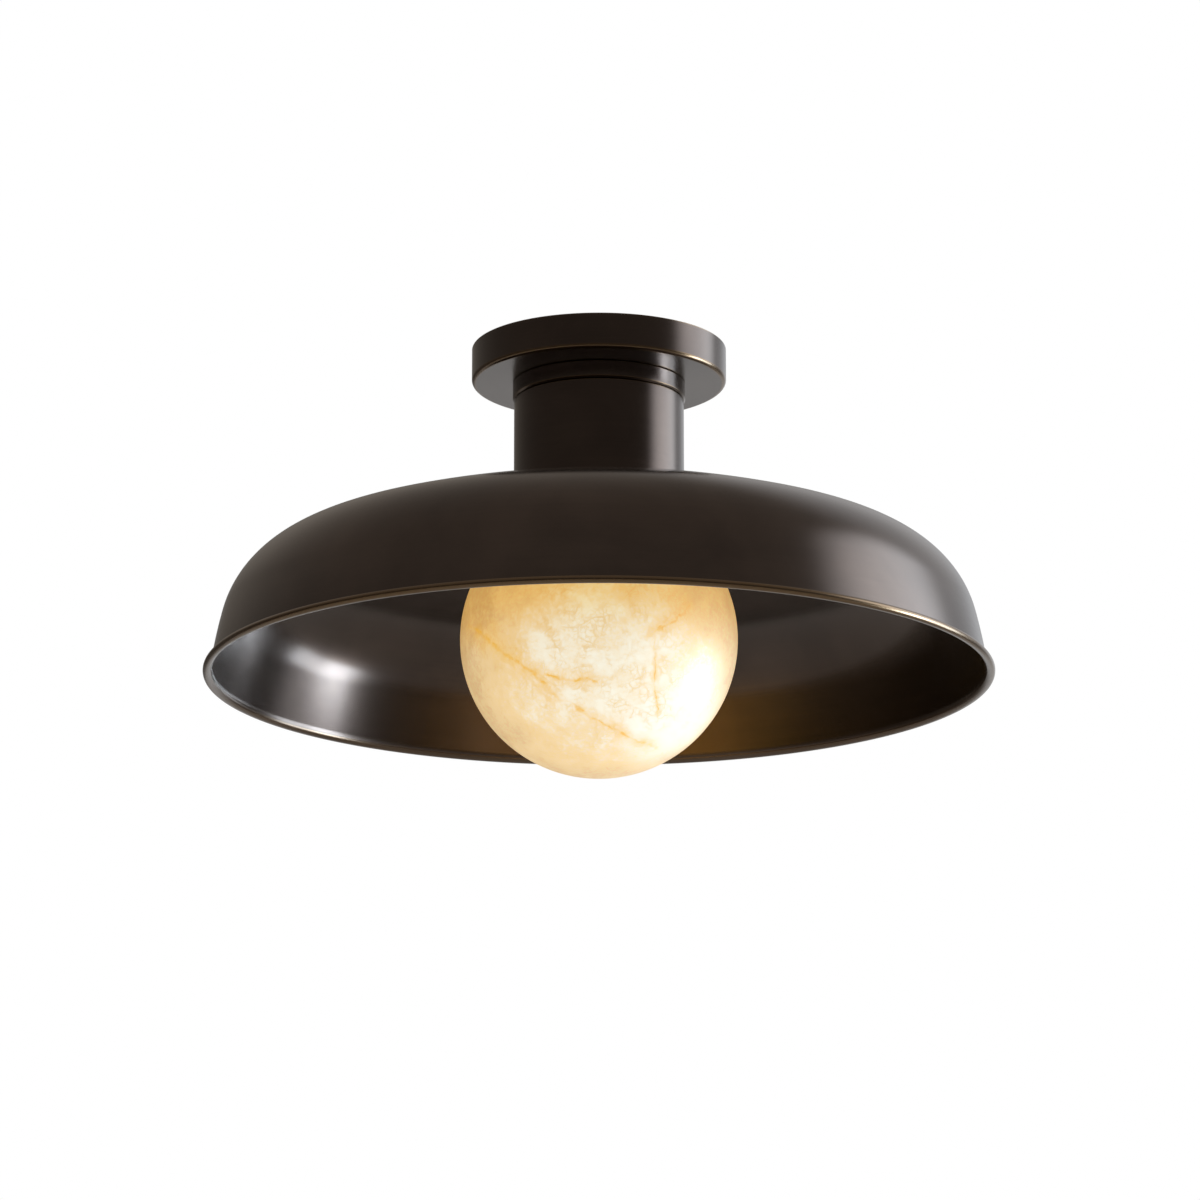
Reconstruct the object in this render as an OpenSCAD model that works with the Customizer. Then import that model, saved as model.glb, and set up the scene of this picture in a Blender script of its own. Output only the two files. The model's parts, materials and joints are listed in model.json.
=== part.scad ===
// Semi-flush ceiling light: a spun metal dome on a straight neck, with an alabaster ball inside.
// All sizes are millimetres. The origin is the middle of the ceiling face and +Z points up,
// so the whole light hangs at negative Z.

/* [Crossbar] */
// Middle-to-middle distance of the two slots for the ceiling box screws
slot_span = 79.5; // [77:0.5:84]
// Length of each slot
slot_l = 15; // [13:0.5:17]
// Width of each slot, for a 4.2 mm box screw
slot_w = 4.6; // [4.4:0.1:5.4]
// Metal left past the end of each slot
bar_end = 4.8; // [3:0.1:6]
// Width of the strap
bar_w = 22; // [18:0.5:28]
// Thickness of the strap
bar_t = 2.5; // [2:0.1:3.5]

/* [Canopy] */
// Outside diameter of the canopy
canopy_d = 132.6; // [126:0.2:150]
// Height of the canopy under the ceiling
canopy_h = 18.5; // [17.5:0.5:26]
// Sheet thickness of the canopy
canopy_t = 1.5; // [1:0.1:2.2]
// Outside radius of the canopy's lower edge
canopy_edge_r = 2; // [1.8:0.1:3]

/* [Hanger] */
// Height of the spacers between the crossbar and the boss
spacer_h = 6.5; // [6:0.1:8]
// Outside diameter of a spacer
spacer_d = 7; // [6:0.1:8]
// Distance between the two hanger screws
hanger_span = 44; // [42:0.5:50]
// Thickness of the boss's web
web_t = 2.5; // [2:0.1:3]
// Diameter of the hole that the supply wires come through
wire_hole_d = 32; // [26:0.5:33]
// Bore of the boss and of the neck head
boss_bore_d = 77; // [72:0.5:78]

/* [Coupling ring] */
// How far the ring stands proud of the neck
ring_proud = 0.75; // [0.6:0.05:2]
// Height of the ring
ring_h = 9; // [8.5:0.1:14]
// Thickness of the lip that carries the neck head
ring_lip_t = 2; // [1.6:0.1:3]
// Chamfer on the ring's lower outside edge
ring_chamfer = 0.8; // [0.3:0.05:1]
// Height of the dark gap between the ring and the neck
ring_gap = 0.6; // [0.3:0.05:1.5]
// How far the thread lies inside the outside of the neck
thread_inset = 0.9; // [0.7:0.05:1.1]
// Thickness of the flange on the neck head
head_flange_t = 1.8; // [1.4:0.1:2.4]
// How far the flange and the lip overlap
lip_overlap = 1.7; // [1.2:0.05:2]

/* [Neck] */
// Outside diameter of the neck
neck_d = 88.4; // [86:0.2:96]
// Height of the neck between the dark gap and the shade
neck_h = 55.9; // [54:0.1:80]
// Wall thickness of the neck tube
neck_t = 1.5; // [1:0.1:1.8]
// Depth of the neck head inside the tube
head_plug_h = 12; // [8:0.5:16]
// Thickness of the neck base
base_t = 3; // [2.5:0.1:4]

/* [Shade] */
// Outside diameter over the rolled rim
shade_d = 406.4; // [380:0.2:440]
// Height from the underside of the rim to the seat of the neck
shade_h = 93.25; // [88:0.25:100]
// Sheet thickness of the shade
shade_t = 1.2; // [0.8:0.1:2]
// Radius of the nearly flat crown
crown_r = 490; // [430:5:560]
// Radius of the round shoulder
shoulder_r = 53; // [45:0.5:58]
// Angle that the wall leans out
wall_lean = 10.2; // [6:0.2:13]
// Diameter of the flat seat in the middle of the crown
seat_d = 92; // [90:0.5:96]
// Thickness of the rolled rim
rim_bead_d = 3.9; // [3.4:0.1:5]
// Inside radius where the wall flares into the rim
rim_bend_r = 2.8; // [2:0.1:3.6]

/* [Globe] */
// Outside diameter of the stone ball
globe_d = 143; // [140:0.5:148]
// Wall thickness of the ball
globe_wall = 7; // [5:0.5:8]
// Diameter of the hole in the ball
mouth_d = 74; // [72:0.5:75]
// Width of the flat ground round the hole
mouth_flat = 5.2; // [4:0.1:7]
// Diameter of the thread between fitter and collar
fitter_thread_d = 75; // [74:0.5:77]
// Wall of the fitter's threaded skirt
fitter_wall = 2.5; // [1.6:0.1:3]
// Height of the fitter's threaded skirt
skirt_h = 8.3; // [8:0.1:11]
// Thickness of the fitter's plate
fitter_t = 2; // [1.6:0.1:3]
// Diameter of the fitter's plate
fitter_d = 84; // [82:0.5:88]
// Wall of the collar's threaded sleeve
collar_wall = 2.2; // [1.6:0.1:2.6]
// Thickness of the collar's flange
collar_t = 2; // [1.6:0.1:2.4]
// How far the collar reaches into the stone
collar_spigot_h = 7; // [5:0.5:9]
// Wall of the collar's spigot
collar_spigot_wall = 1.9; // [1.4:0.1:2.4]
// Thickness of the soft gasket
gasket_t = 1.8; // [1:0.1:2.2]

/* [Lampholder] */
// Outside diameter of the lampholder
holder_d = 39.2; // [38:0.2:42]
// Height of the lampholder with its cap
holder_h = 49; // [48:0.5:52]
// Height of the lampholder's metal cap
holder_cap_h = 14; // [13:0.5:16]
// Depth of the wiring space under the cap's top
chamber_h = 7.8; // [7:0.1:9]
// Depth of the socket
socket_depth = 30; // [29:0.5:32]
// Outside diameter of the bulb's screw cap
screw_d = 26; // [25.6:0.1:26.6]
// Diameter of the holes that the lampholder passes through
holder_hole_d = 45; // [44:0.5:48]
// Height of the bridge
bridge_h = 43.1; // [41:0.1:44]
// Width of the bridge's strap
bridge_w = 16; // [14:0.5:17]
// Thickness of the bridge's strap
bridge_t = 2; // [1.6:0.1:2.4]
// Outside width over the bridge's legs
bridge_span = 54; // [51:0.5:56]
// Distance between the two bridge screws
bridge_screw_span = 66; // [64:0.5:68]
// Diameter of the threaded nipple
nipple_d = 10; // [9.6:0.1:11]
// Bore of the nipple
nipple_bore_d = 7.2; // [6.6:0.1:7.6]
// Width across the flats of the nipple's nuts
nut_af = 14; // [13:0.5:15]
// Height of a nipple nut
nut_h = 3; // [2.5:0.1:3.4]

/* [Wiring] */
// Diameter over the insulation of a lead
lead_d = 2.2; // [1.8:0.1:2.4]
// Radius of the loop that turns a supply lead over
lead_loop_r = 8; // [7.6:0.1:9]
// Radius of the loop that turns the ground lead over
ground_loop_r = 7; // [6:0.1:8]
// Height of the loops' centres above the bridge
lead_rise = 12; // [9:0.5:13]
// Length of a wire connector
connector_h = 15; // [13:0.5:16]
// Diameter of a wire connector at its mouth
connector_d = 11; // [9:0.2:11.4]

/* [Bulb] */
// Diameter of the bulb
bulb_d = 60; // [54:0.5:62]
// Overall length of the bulb with its cap
bulb_l = 105; // [98:0.5:112]
// Wall of the bulb's envelope
bulb_wall = 0.8; // [0.6:0.1:1.2]

/* [Screws] */
// Diameter of the machine screws
screw_shank_d = 4; // [3.5:0.1:4.4]
// Diameter of their pan heads
screw_head_d = 7; // [6.4:0.1:7.4]
// Height of their pan heads
screw_head_h = 2.5; // [2:0.1:2.6]
// Radius of the circle of the three shade screws
shade_screw_r = 29; // [28.4:0.1:29.6]

/* [Clearances] */
// Radial play of a running thread or spigot
run_play = 0.1; // [0.05:0.01:0.2]
// Radial play of a brazed, cemented or tapped fit
snug_play = 0.05; // [0.02:0.01:0.1]
// Play between faces that draw up against each other
face_play = 0.1; // [0.05:0.01:0.2]
// Radial play of a hole that a fixed piece passes through
pass_play = 0.45; // [0.3:0.05:0.6]
// Radial play of a screw in a plain hole
screw_play = 0.2; // [0.1:0.05:0.3]

/* [Hidden] */
$fn = 96;
eps = 0.01;
over = 1;

// Small sizes of bought-in pieces
cap_sheet_t = 1.2;
cap_bend_r = 1.5;
shell_t = 0.5;
contact_gap = 0.2;
tag_t = 0.8;
tag_ring_w = 2.5;
tag_reach = 11;
barrel_wall = 0.8;
barrel_h = 6;
nipple_end = 1.5;
nipple_in = 3;
screw_end = 0.3;
drive_slot_w = 1;
drive_slot_depth = 1.1;
ground_screw_x = 10;
ground_head_d = 8;
ground_head_h = 2.6;
foot_end = 7;
strap_bend_r = 1;
bridge_gap = 1;
lead_gap = 0.4;
lead_bend_r = 2.5;
terminal_x = 11;
terminal_head_d = 6;
terminal_head_h = 2.2;
terminal_shank_d = 3;
terminal_shank_l = 5;
connector_tip_d = 7;
connector_wall = 3.4;
connector_wing = 1.6;
connector_wing_start = 2;
connector_lip = 0.5;
cap_metal_t = 0.4;
cap_h = 26;
cap_neck_h = 5;
cap_crown_h = 3;
insulator_r = 7;
insulator_h = 2;
insulator_rim = 0.5;
contact_r = 4.5;
contact_h = 1;
connector_drop = 1;
connector_in = connector_h - connector_wall + connector_drop;
shell_play = 0.3;
shell_seat = 0.2;
shell_end = 1;
shell_floor_w = 1;
leaf_tip_l = 2;
leaf_foot_l = 1.2;
leaf_reach = 5;
seat_step = 0.3;
bend_land = 0.1;
arc_steps = 16;

// Radii
canopy_r = canopy_d / 2;
neck_r = neck_d / 2;
thread_r = neck_r - thread_inset;
ring_r = neck_r + ring_proud;
spigot_r = thread_r - lip_overlap;
tube_bore_r = neck_r - neck_t;
boss_bore_r = boss_bore_d / 2;
shade_r = shade_d / 2;
seat_r = seat_d / 2;
bead_r = rim_bead_d / 2;
globe_r = globe_d / 2;
mouth_r = mouth_d / 2;
fitter_thread_r = fitter_thread_d / 2;
holder_r = holder_d / 2;
holder_hole_r = holder_hole_d / 2;
screw_r = screw_d / 2;
tap_r = screw_shank_d / 2 + snug_play;
screw_hole_r = screw_shank_d / 2 + screw_play;
lead_r = lead_d / 2;
nipple_r = nipple_d / 2;
lead_lane = lead_r + lead_gap / 2;
shell_bore_r = screw_r + shell_play;
socket_r = shell_bore_r + shell_t + shell_seat;

// Heights, from the ceiling down
bar_under = -bar_t;
web_top = bar_under - spacer_h;
web_under = web_top - web_t;
canopy_under = -canopy_h;
ring_top = canopy_under - face_play;
ring_under = ring_top - ring_h;
lip_top = ring_under + ring_lip_t;
flange_under = lip_top + face_play;
flange_top = flange_under + head_flange_t;
boss_under = flange_top + face_play;
neck_top = ring_under - ring_gap;
seat_top = neck_top - neck_h;
base_top = seat_top + base_t;
seat_under = seat_top - shade_t;
fitter_under = seat_under - fitter_t;
rim_mid = seat_top - shade_h + bead_r;
skirt_under = fitter_under - skirt_h;
collar_face = skirt_under - 4 * face_play;
mouth_cut_r = mouth_r + mouth_flat;
mouth_z = collar_face - collar_t;
globe_mid = mouth_z - sqrt(globe_r * globe_r - mouth_cut_r * mouth_cut_r);
gasket_top = fitter_under - 2 * face_play;
gasket_under = gasket_top - gasket_t;
bridge_top = base_top + bridge_h;
bridge_under = bridge_top - bridge_t;
holder_top = bridge_under - nut_h;
holder_mouth = holder_top - holder_h;
chamber_top = holder_top - cap_sheet_t;
body_top = chamber_top - chamber_h;
cap_rim = holder_top - holder_cap_h;
socket_floor = holder_mouth + socket_depth;
tag_top = bridge_top + tag_t;
loop_z = bridge_top + lead_rise;

// The shade's outline: a crown arc, a shoulder arc and a leaning wall, each tangent to the next,
// down to a bead outside and a flare inside
wall_foot = [shade_r - rim_bead_d, rim_mid + bead_r];
wall_out = [cos(wall_lean), sin(wall_lean)];
wall_up = [-sin(wall_lean), cos(wall_lean)];
crown_mid = [0, seat_top - seat_step - sqrt(crown_r * crown_r - seat_r * seat_r)];
wall_base = wall_foot - shoulder_r * wall_out;
base_arm = wall_base - crown_mid;
arc_arm = crown_r - shoulder_r;
arm_along = base_arm * wall_up;
wall_l = sqrt(arm_along * arm_along - base_arm * base_arm + arc_arm * arc_arm) - arm_along;
shoulder_mid = wall_base + wall_l * wall_up;
crown_arm = shoulder_mid - crown_mid;
crown_end = atan2(crown_arm[1], crown_arm[0]);
bead_mid = [shade_r - bead_r, rim_mid];
bend_room = (bead_r - bend_land) * cos(wall_lean) + shade_t - rim_bead_d * sin(wall_lean);
bend_r = min(rim_bend_r, bend_room / (1 - sin(wall_lean)));
bend_out = bend_r - shade_t;
bend_up = (bend_r - rim_bead_d - bend_out * wall_out[1]) / wall_up[1];
bend_mid = wall_foot + bend_out * wall_out + bend_up * wall_up;

// Points along an arc about a centre, from one angle to another
function arc(mid, r, from, to, first = 0) = [
    for (i = [first:arc_steps])
        let (angle = from + (to - from) * i / arc_steps) mid + r * [cos(angle), sin(angle)]
];

// A rectangle from two corners
module box_2d(lo, hi) translate(lo) square(hi - lo);

// A ring from its radii and heights
module ring(r_out, r_in, z_lo, z_hi)
    rotate_extrude() box_2d([r_in, z_lo], [r_out, z_hi]);

// A solid round block between two heights
module round_block(r, z_lo, z_hi) translate([0, 0, z_lo]) cylinder(r = r, h = z_hi - z_lo);

// The two places of a pair on the X axis
module both_sides(x) for (side = [-1, 1]) translate([side * x, 0, 0]) children();

// The three places of the shade screws
module shade_screw_places()
    for (turn = [0:2]) rotate(90 + 120 * turn) translate([shade_screw_r, 0, 0]) children();

// A pan-head machine screw. The head sits under z = 0 and the shank points up
module pan_screw(shank_l, shank_d = screw_shank_d, head_d = screw_head_d, head_h = screw_head_h) {
    difference() {
        rotate_extrude() {
            box_2d([0, -head_h / 2], [head_d / 2, 0]);
            intersection() {
                translate([0, head_d]) circle(head_d + head_h);
                box_2d([0, -head_h], [head_d / 2, 0]);
            }
        }
        translate([-head_d / 2, -drive_slot_w / 2, -head_h - eps])
            cube([head_d, drive_slot_w, drive_slot_depth]);
    }
    round_block(shank_d / 2, 0, shank_l);
}

// Round sheet cup with its mouth up, as a flat profile
module cup_2d(r, h, t, edge_r) {
    difference() {
        rounded_2d(r, h, edge_r);
        translate([0, t]) rounded_2d(r - t, h, edge_r - t);
    }
}

// A block whose lower outside corner is round
module rounded_2d(r, h, edge_r) {
    box_2d([0, 0], [r - edge_r, h]);
    box_2d([0, edge_r], [r, h]);
    translate([r - edge_r, edge_r]) circle(edge_r);
}

module crossbar() {
    half_l = slot_span / 2 + slot_l / 2 + bar_end;
    color("#8f9092") difference() {
        intersection() {
            translate([-half_l, -bar_w / 2, bar_under]) cube([2 * half_l, bar_w, bar_t]);
            round_block(half_l, bar_under - over, over);
        }
        both_sides(slot_span / 2) slot_cut();
        both_sides(hanger_span / 2) round_block(tap_r, bar_under - over, over);
        translate([ground_screw_x, 0, 0]) round_block(tap_r, bar_under - over, over);
    }
}

// One box-screw slot, cut right through the strap
module slot_cut() {
    flat = (slot_l - slot_w) / 2;
    translate([-flat, -slot_w / 2, bar_under - over]) cube([2 * flat, slot_w, bar_t + 2 * over]);
    both_sides(flat) round_block(slot_w / 2, bar_under - over, over);
}

module ground_screw() {
    color("#3f7a4a") translate([ground_screw_x, 0, bar_under])
        pan_screw(bar_t - screw_end, head_d = ground_head_d, head_h = ground_head_h);
}

module hanger_spacers() {
    color("#a9aaab") both_sides(hanger_span / 2)
        ring(spacer_d / 2, tap_r, web_top, bar_under);
}

module hanger_screws() {
    color("#9a9b9c") both_sides(hanger_span / 2) translate([0, 0, web_under])
        pan_screw(web_t + spacer_h + bar_t - screw_end);
}

module hanger_boss() {
    color("#7a7672") difference() {
        round_block(thread_r, boss_under, web_top);
        round_block(boss_bore_r, boss_under - over, web_under);
        round_block(wire_hole_d / 2, web_under - over, web_top + over);
        both_sides(hanger_span / 2) round_block(tap_r, web_under - over, web_top + over);
    }
}

module coupling_ring() {
    bore_r = thread_r + run_play;
    lip_r = spigot_r + 2 * run_play;
    top_break = ring_chamfer / 2;
    color("#3a322d") rotate_extrude() polygon([
        [bore_r, ring_top],
        [ring_r - top_break, ring_top],
        [ring_r, ring_top - top_break],
        [ring_r, ring_under + ring_chamfer],
        [ring_r - ring_chamfer, ring_under],
        [lip_r, ring_under],
        [lip_r, lip_top],
        [bore_r, lip_top]
    ]);
}

module canopy() {
    color("#3a322d") rotate_extrude() difference() {
        translate([0, canopy_under]) cup_2d(canopy_r, canopy_h, canopy_t, canopy_edge_r);
        box_2d([-over, canopy_under - over], [thread_r + pass_play, 0]);
        box_2d([-canopy_r, 0], [canopy_r + over, canopy_h]);
        box_2d([-canopy_r, canopy_under - over], [0, over]);
    }
}

module neck_head() {
    plug_under = neck_top - head_plug_h;
    color("#4a413a") rotate_extrude() difference() {
        box_2d([boss_bore_r, plug_under], [thread_r, flange_top]);
        box_2d([spigot_r, neck_top], [neck_r, flange_under]);
        box_2d([tube_bore_r - snug_play, plug_under - over], [neck_r, neck_top + eps]);
    }
}

module neck_tube() {
    color("#3a322d") ring(neck_r, tube_bore_r, seat_top, neck_top);
}

module neck_base() {
    color("#4a413a") difference() {
        round_block(tube_bore_r - snug_play, seat_top, base_top);
        round_block(holder_hole_r, seat_top - over, base_top + over);
        shade_screw_places() round_block(tap_r, seat_top - over, base_top + over);
        both_sides(bridge_screw_span / 2) round_block(tap_r, seat_top - over, base_top + over);
    }
}

// The shade in section. Its crown and shoulder keep one sheet thickness between two arcs
module shade_2d() {
    inner_crown_r = crown_r - shade_t;
    polygon(concat(
        [[holder_hole_r, seat_top], [seat_r, seat_top]],
        arc(crown_mid, crown_r, acos(seat_r / crown_r), crown_end),
        arc(shoulder_mid, shoulder_r, crown_end, wall_lean, 1),
        [wall_foot],
        arc(bead_mid, bead_r, 90, -90),
        arc(bend_mid, bend_r, 270, 180 + wall_lean),
        arc(shoulder_mid, shoulder_r - shade_t, wall_lean, crown_end),
        arc(crown_mid, inner_crown_r, crown_end, acos(seat_r / inner_crown_r), 1),
        [[seat_r, seat_under], [holder_hole_r, seat_under]]
    ));
}

module shade() {
    color("#3a322d") difference() {
        rotate_extrude() shade_2d();
        shade_screw_places() round_block(screw_hole_r, seat_under - over, seat_top + over);
    }
}

module globe_fitter() {
    color("#4a413a") difference() {
        union() {
            round_block(fitter_d / 2, fitter_under, seat_under);
            ring(fitter_thread_r, fitter_thread_r - fitter_wall, skirt_under, fitter_under);
        }
        round_block(holder_hole_r, fitter_under - over, seat_under + over);
        shade_screw_places() round_block(screw_hole_r, fitter_under - over, seat_under + over);
    }
}

module shade_screws() {
    color("#9a9b9c") shade_screw_places() translate([0, 0, fitter_under])
        pan_screw(fitter_t + shade_t + base_t + screw_end);
}

// Half of the bridge seen from the side: foot, leg and bar with round bends
module bridge_2d() {
    leg = bridge_span / 2;
    bend = strap_bend_r + bridge_t;
    foot = bridge_screw_span / 2 + foot_end;
    box_2d([leg + strap_bend_r, 0], [foot, bridge_t]);
    translate([leg + strap_bend_r, bend]) rotate(180) quarter_bend(bend);
    box_2d([leg - bridge_t, bend], [leg, bridge_h - bend]);
    translate([leg - bend, bridge_h - bend]) quarter_bend(bend);
    box_2d([0, bridge_h - bridge_t], [leg - bend, bridge_h]);
}

// A quarter turn of strap about the origin
module quarter_bend(bend) {
    intersection() {
        difference() {
            circle(bend);
            circle(bend - bridge_t);
        }
        square(bend);
    }
}

module lamp_bridge() {
    color("#8f9092") difference() {
        intersection() {
            translate([0, 0, base_top]) rotate([90, 0, 0])
                linear_extrude(bridge_w, center = true) {
                    bridge_2d();
                    mirror([1, 0]) bridge_2d();
                }
            round_block(tube_bore_r - bridge_gap, base_top - over, bridge_top + over);
        }
        round_block(nipple_r + snug_play, bridge_under - over, bridge_top + over);
        both_sides(bridge_screw_span / 2)
            round_block(screw_hole_r, base_top - over, base_top + bridge_t + over);
    }
}

module bridge_screws() {
    color("#9a9b9c") both_sides(bridge_screw_span / 2)
        translate([0, 0, base_top + bridge_t]) mirror([0, 0, 1])
            pan_screw(bridge_t + base_t - screw_end);
}

module nipple() {
    color("#b59a5a") ring(nipple_r, nipple_bore_d / 2, holder_top - nipple_in,
        tag_top + nut_h + nipple_end);
}

// A hexagon nut on the nipple, standing on a height
module nipple_nut(z) {
    across = nut_af / cos(30);
    difference() {
        translate([0, 0, z]) cylinder(d = across, h = nut_h, $fn = 6);
        round_block(nipple_r + snug_play, z - over, z + nut_h + over);
    }
}

module nipple_nuts() {
    color("#b59a5a") {
        nipple_nut(holder_top);
        nipple_nut(tag_top);
    }
}

// The ring terminal under the upper nut, with a crimp barrel that stands up
module ground_tag() {
    barrel_r = lead_r + snug_play + barrel_wall;
    color("#c2a24e") rotate(45) difference() {
        union() {
            round_block(nipple_r + snug_play + tag_ring_w, bridge_top, tag_top);
            translate([0, -barrel_r, bridge_top]) cube([tag_reach, 2 * barrel_r, tag_t]);
            translate([tag_reach, 0, 0]) round_block(barrel_r, bridge_top, tag_top + barrel_h);
        }
        round_block(nipple_r + snug_play, bridge_top - over, tag_top + over);
        translate([tag_reach, 0, 0])
            round_block(lead_r + snug_play, tag_top, tag_top + barrel_h + over);
    }
}

module holder_cap() {
    color("#b59a5a") rotate_extrude() difference() {
        translate([0, holder_top]) mirror([0, 1])
            cup_2d(holder_r, holder_cap_h, cap_sheet_t, cap_sheet_t + cap_bend_r);
        box_2d([-over, cap_rim - holder_cap_h], [nipple_r + snug_play, holder_top + over]);
        box_2d([-holder_r - over, cap_rim - holder_cap_h], [0, holder_top + over]);
        box_2d([-over, cap_rim - 2 * holder_cap_h], [holder_r + over, cap_rim]);
    }
}

module holder_body() {
    color("#e9e4d8") difference() {
        union() {
            round_block(holder_r, holder_mouth, cap_rim);
            round_block(holder_r - cap_sheet_t - snug_play, cap_rim, body_top);
        }
        round_block(socket_r, holder_mouth - over, socket_floor);
        both_sides(terminal_x)
            round_block(terminal_shank_d / 2 + snug_play, body_top - terminal_shank_l - snug_play,
                body_top + over);
    }
}

module screw_shell() {
    color("#c9a24a") rotate_extrude() difference() {
        box_2d([insulator_r + shell_floor_w, holder_mouth + shell_end],
            [shell_bore_r + shell_t, socket_floor]);
        box_2d([0, holder_mouth], [shell_bore_r, socket_floor - shell_t]);
    }
}

// A brass leaf that springs down from the socket's floor to the bulb
module centre_contact() {
    tip_z = holder_mouth + cap_h + contact_gap;
    floor_under = socket_floor - shell_t;
    seat_reach = leaf_reach - leaf_foot_l;
    color("#c9a24a") rotate([90, 0, 0]) linear_extrude(contact_r, center = true) polygon([
        [-leaf_reach, socket_floor],
        [-leaf_reach, floor_under],
        [0, tip_z],
        [leaf_tip_l, tip_z],
        [leaf_tip_l, tip_z + shell_t],
        [contact_gap, tip_z + shell_t],
        [-seat_reach, floor_under],
        [seat_reach, floor_under],
        [seat_reach, socket_floor]
    ]);
}

module terminal_screws() {
    color("#b9b9b6") both_sides(terminal_x) translate([0, 0, body_top]) mirror([0, 0, 1])
        pan_screw(terminal_shank_l, terminal_shank_d, terminal_head_d, terminal_head_h);
}

// A straight stretch of lead that runs up from the origin. What follows starts at its end
module lead_run(l) {
    cylinder(r = lead_r, h = l);
    translate([0, 0, l]) children();
}

// A bend of lead that starts upwards at the origin and turns to +X. What follows starts at its end
module lead_turn(bend_r, sweep) {
    translate([bend_r, 0, 0]) mirror([1, 0, 0]) rotate([90, 0, 0])
        rotate_extrude(angle = sweep) translate([bend_r, 0]) circle(lead_r);
    translate([bend_r, 0, 0]) rotate([0, sweep, 0]) translate([-bend_r, 0, 0]) children();
}

// One supply lead, from its terminal on the +X side, up through the nipple and over to +Y
module supply_lead() {
    floor_z = body_top + lead_r;
    end_x = terminal_x - terminal_head_d / 2 - run_play;
    translate([end_x, 0, floor_z]) rotate([0, -90, 0])
        lead_run(end_x - lead_lane - lead_bend_r)
        lead_turn(lead_bend_r, 90)
        lead_run(loop_z - floor_z - lead_bend_r)
        rotate(90) lead_turn(lead_loop_r, 180)
        lead_run(connector_in);
}

module black_lead() color("#262626") supply_lead();

module white_lead() color("#e4e2dc") rotate(180) supply_lead();

module ground_lead() {
    color("#3f7a4a") rotate(45) translate([tag_reach, 0, tag_top])
        lead_run(loop_z - tag_top)
        lead_turn(ground_loop_r, 180)
        lead_run(connector_in);
}

// A twist-on wire connector, mouth up, with two finger wings
module wire_connector() {
    mouth = loop_z - connector_drop;
    tip = mouth - connector_h;
    difference() {
        union() {
            translate([0, 0, tip])
                cylinder(d1 = connector_tip_d, d2 = connector_d - 2 * connector_lip, h = connector_h);
            round_block(connector_d / 2, mouth - connector_wall, mouth);
            translate([-connector_d / 2, -connector_wing / 2, tip + connector_wing_start])
                cube([connector_d, connector_wing, connector_h - connector_wing_start]);
        }
        round_block(lead_r + run_play, tip + connector_wall, mouth + over);
    }
}

module wire_connectors() {
    color("#d9a13b") {
        translate([lead_lane, 2 * lead_loop_r, 0]) wire_connector();
        translate([-lead_lane, -2 * lead_loop_r, 0]) wire_connector();
        rotate(45) translate([tag_reach + 2 * ground_loop_r, 0, 0]) rotate(90) wire_connector();
    }
}

module globe() {
    color("#f3e3bd") difference() {
        translate([0, 0, globe_mid]) sphere(globe_r);
        translate([0, 0, globe_mid]) sphere(globe_r - globe_wall);
        round_block(mouth_r, globe_mid, mouth_z + over);
        round_block(globe_r, mouth_z, globe_mid + globe_r + over);
    }
}

module globe_collar() {
    bore_r = fitter_thread_r + run_play;
    spigot_out = mouth_r - 2 * snug_play;
    spigot_in = spigot_out - collar_spigot_wall;
    color("#4a413a") rotate_extrude() {
        box_2d([bore_r, mouth_z + eps], [bore_r + collar_wall, gasket_under]);
        box_2d([spigot_in, mouth_z], [mouth_cut_r, collar_face]);
        box_2d([spigot_in, mouth_z - collar_spigot_h], [spigot_out, collar_face - eps]);
    }
}

module globe_gasket() {
    bore_r = fitter_thread_r + run_play;
    color("#d8d2c6") ring(bore_r + collar_wall, bore_r, gasket_under, gasket_top);
}

// Outline of the bulb: a ball drawn down to the cap by a tangent cone, shrunk by a margin
module bulb_2d(inset) {
    ball_r = bulb_d / 2 - inset;
    neck_end = screw_r - cap_metal_t - snug_play - inset;
    ball_mid = holder_mouth + cap_h - bulb_l + bulb_d / 2;
    rise = holder_mouth - ball_mid;
    a = atan2(rise, neck_end) - acos(ball_r / norm([neck_end, rise]));
    intersection() {
        translate([0, ball_mid]) circle(ball_r);
        box_2d([0, ball_mid - ball_r], [ball_r, holder_mouth]);
    }
    polygon([
        [0, ball_mid],
        [ball_r * cos(a), ball_mid + ball_r * sin(a)],
        [neck_end, holder_mouth],
        [neck_end, holder_mouth + cap_neck_h],
        [0, holder_mouth + cap_neck_h]
    ]);
}

module bulb_envelope() {
    color("#f6efe0") rotate_extrude() difference() {
        bulb_2d(0);
        bulb_2d(bulb_wall);
    }
}

module bulb_cap() {
    crown = holder_mouth + cap_h - contact_h - insulator_h;
    color("#b9b9b6") rotate_extrude() polygon([
        [screw_r - cap_metal_t, holder_mouth],
        [screw_r, holder_mouth],
        [screw_r, crown - cap_crown_h],
        [insulator_r, crown],
        [insulator_r - cap_metal_t, crown],
        [screw_r - cap_metal_t, crown - cap_crown_h]
    ]);
}

module bulb_insulator() {
    top = holder_mouth + cap_h - contact_h;
    color("#2b2b30") rotate_extrude() polygon([
        [0, top - insulator_h],
        [insulator_r, top - insulator_h],
        [contact_r + insulator_rim, top],
        [0, top]
    ]);
}

module bulb_contact() {
    top = holder_mouth + cap_h;
    color("#b9b9b6") rotate_extrude() intersection() {
        translate([0, top - 2 * contact_r]) circle(2 * contact_r);
        box_2d([0, top - contact_h], [contact_r, top]);
    }
}

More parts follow.
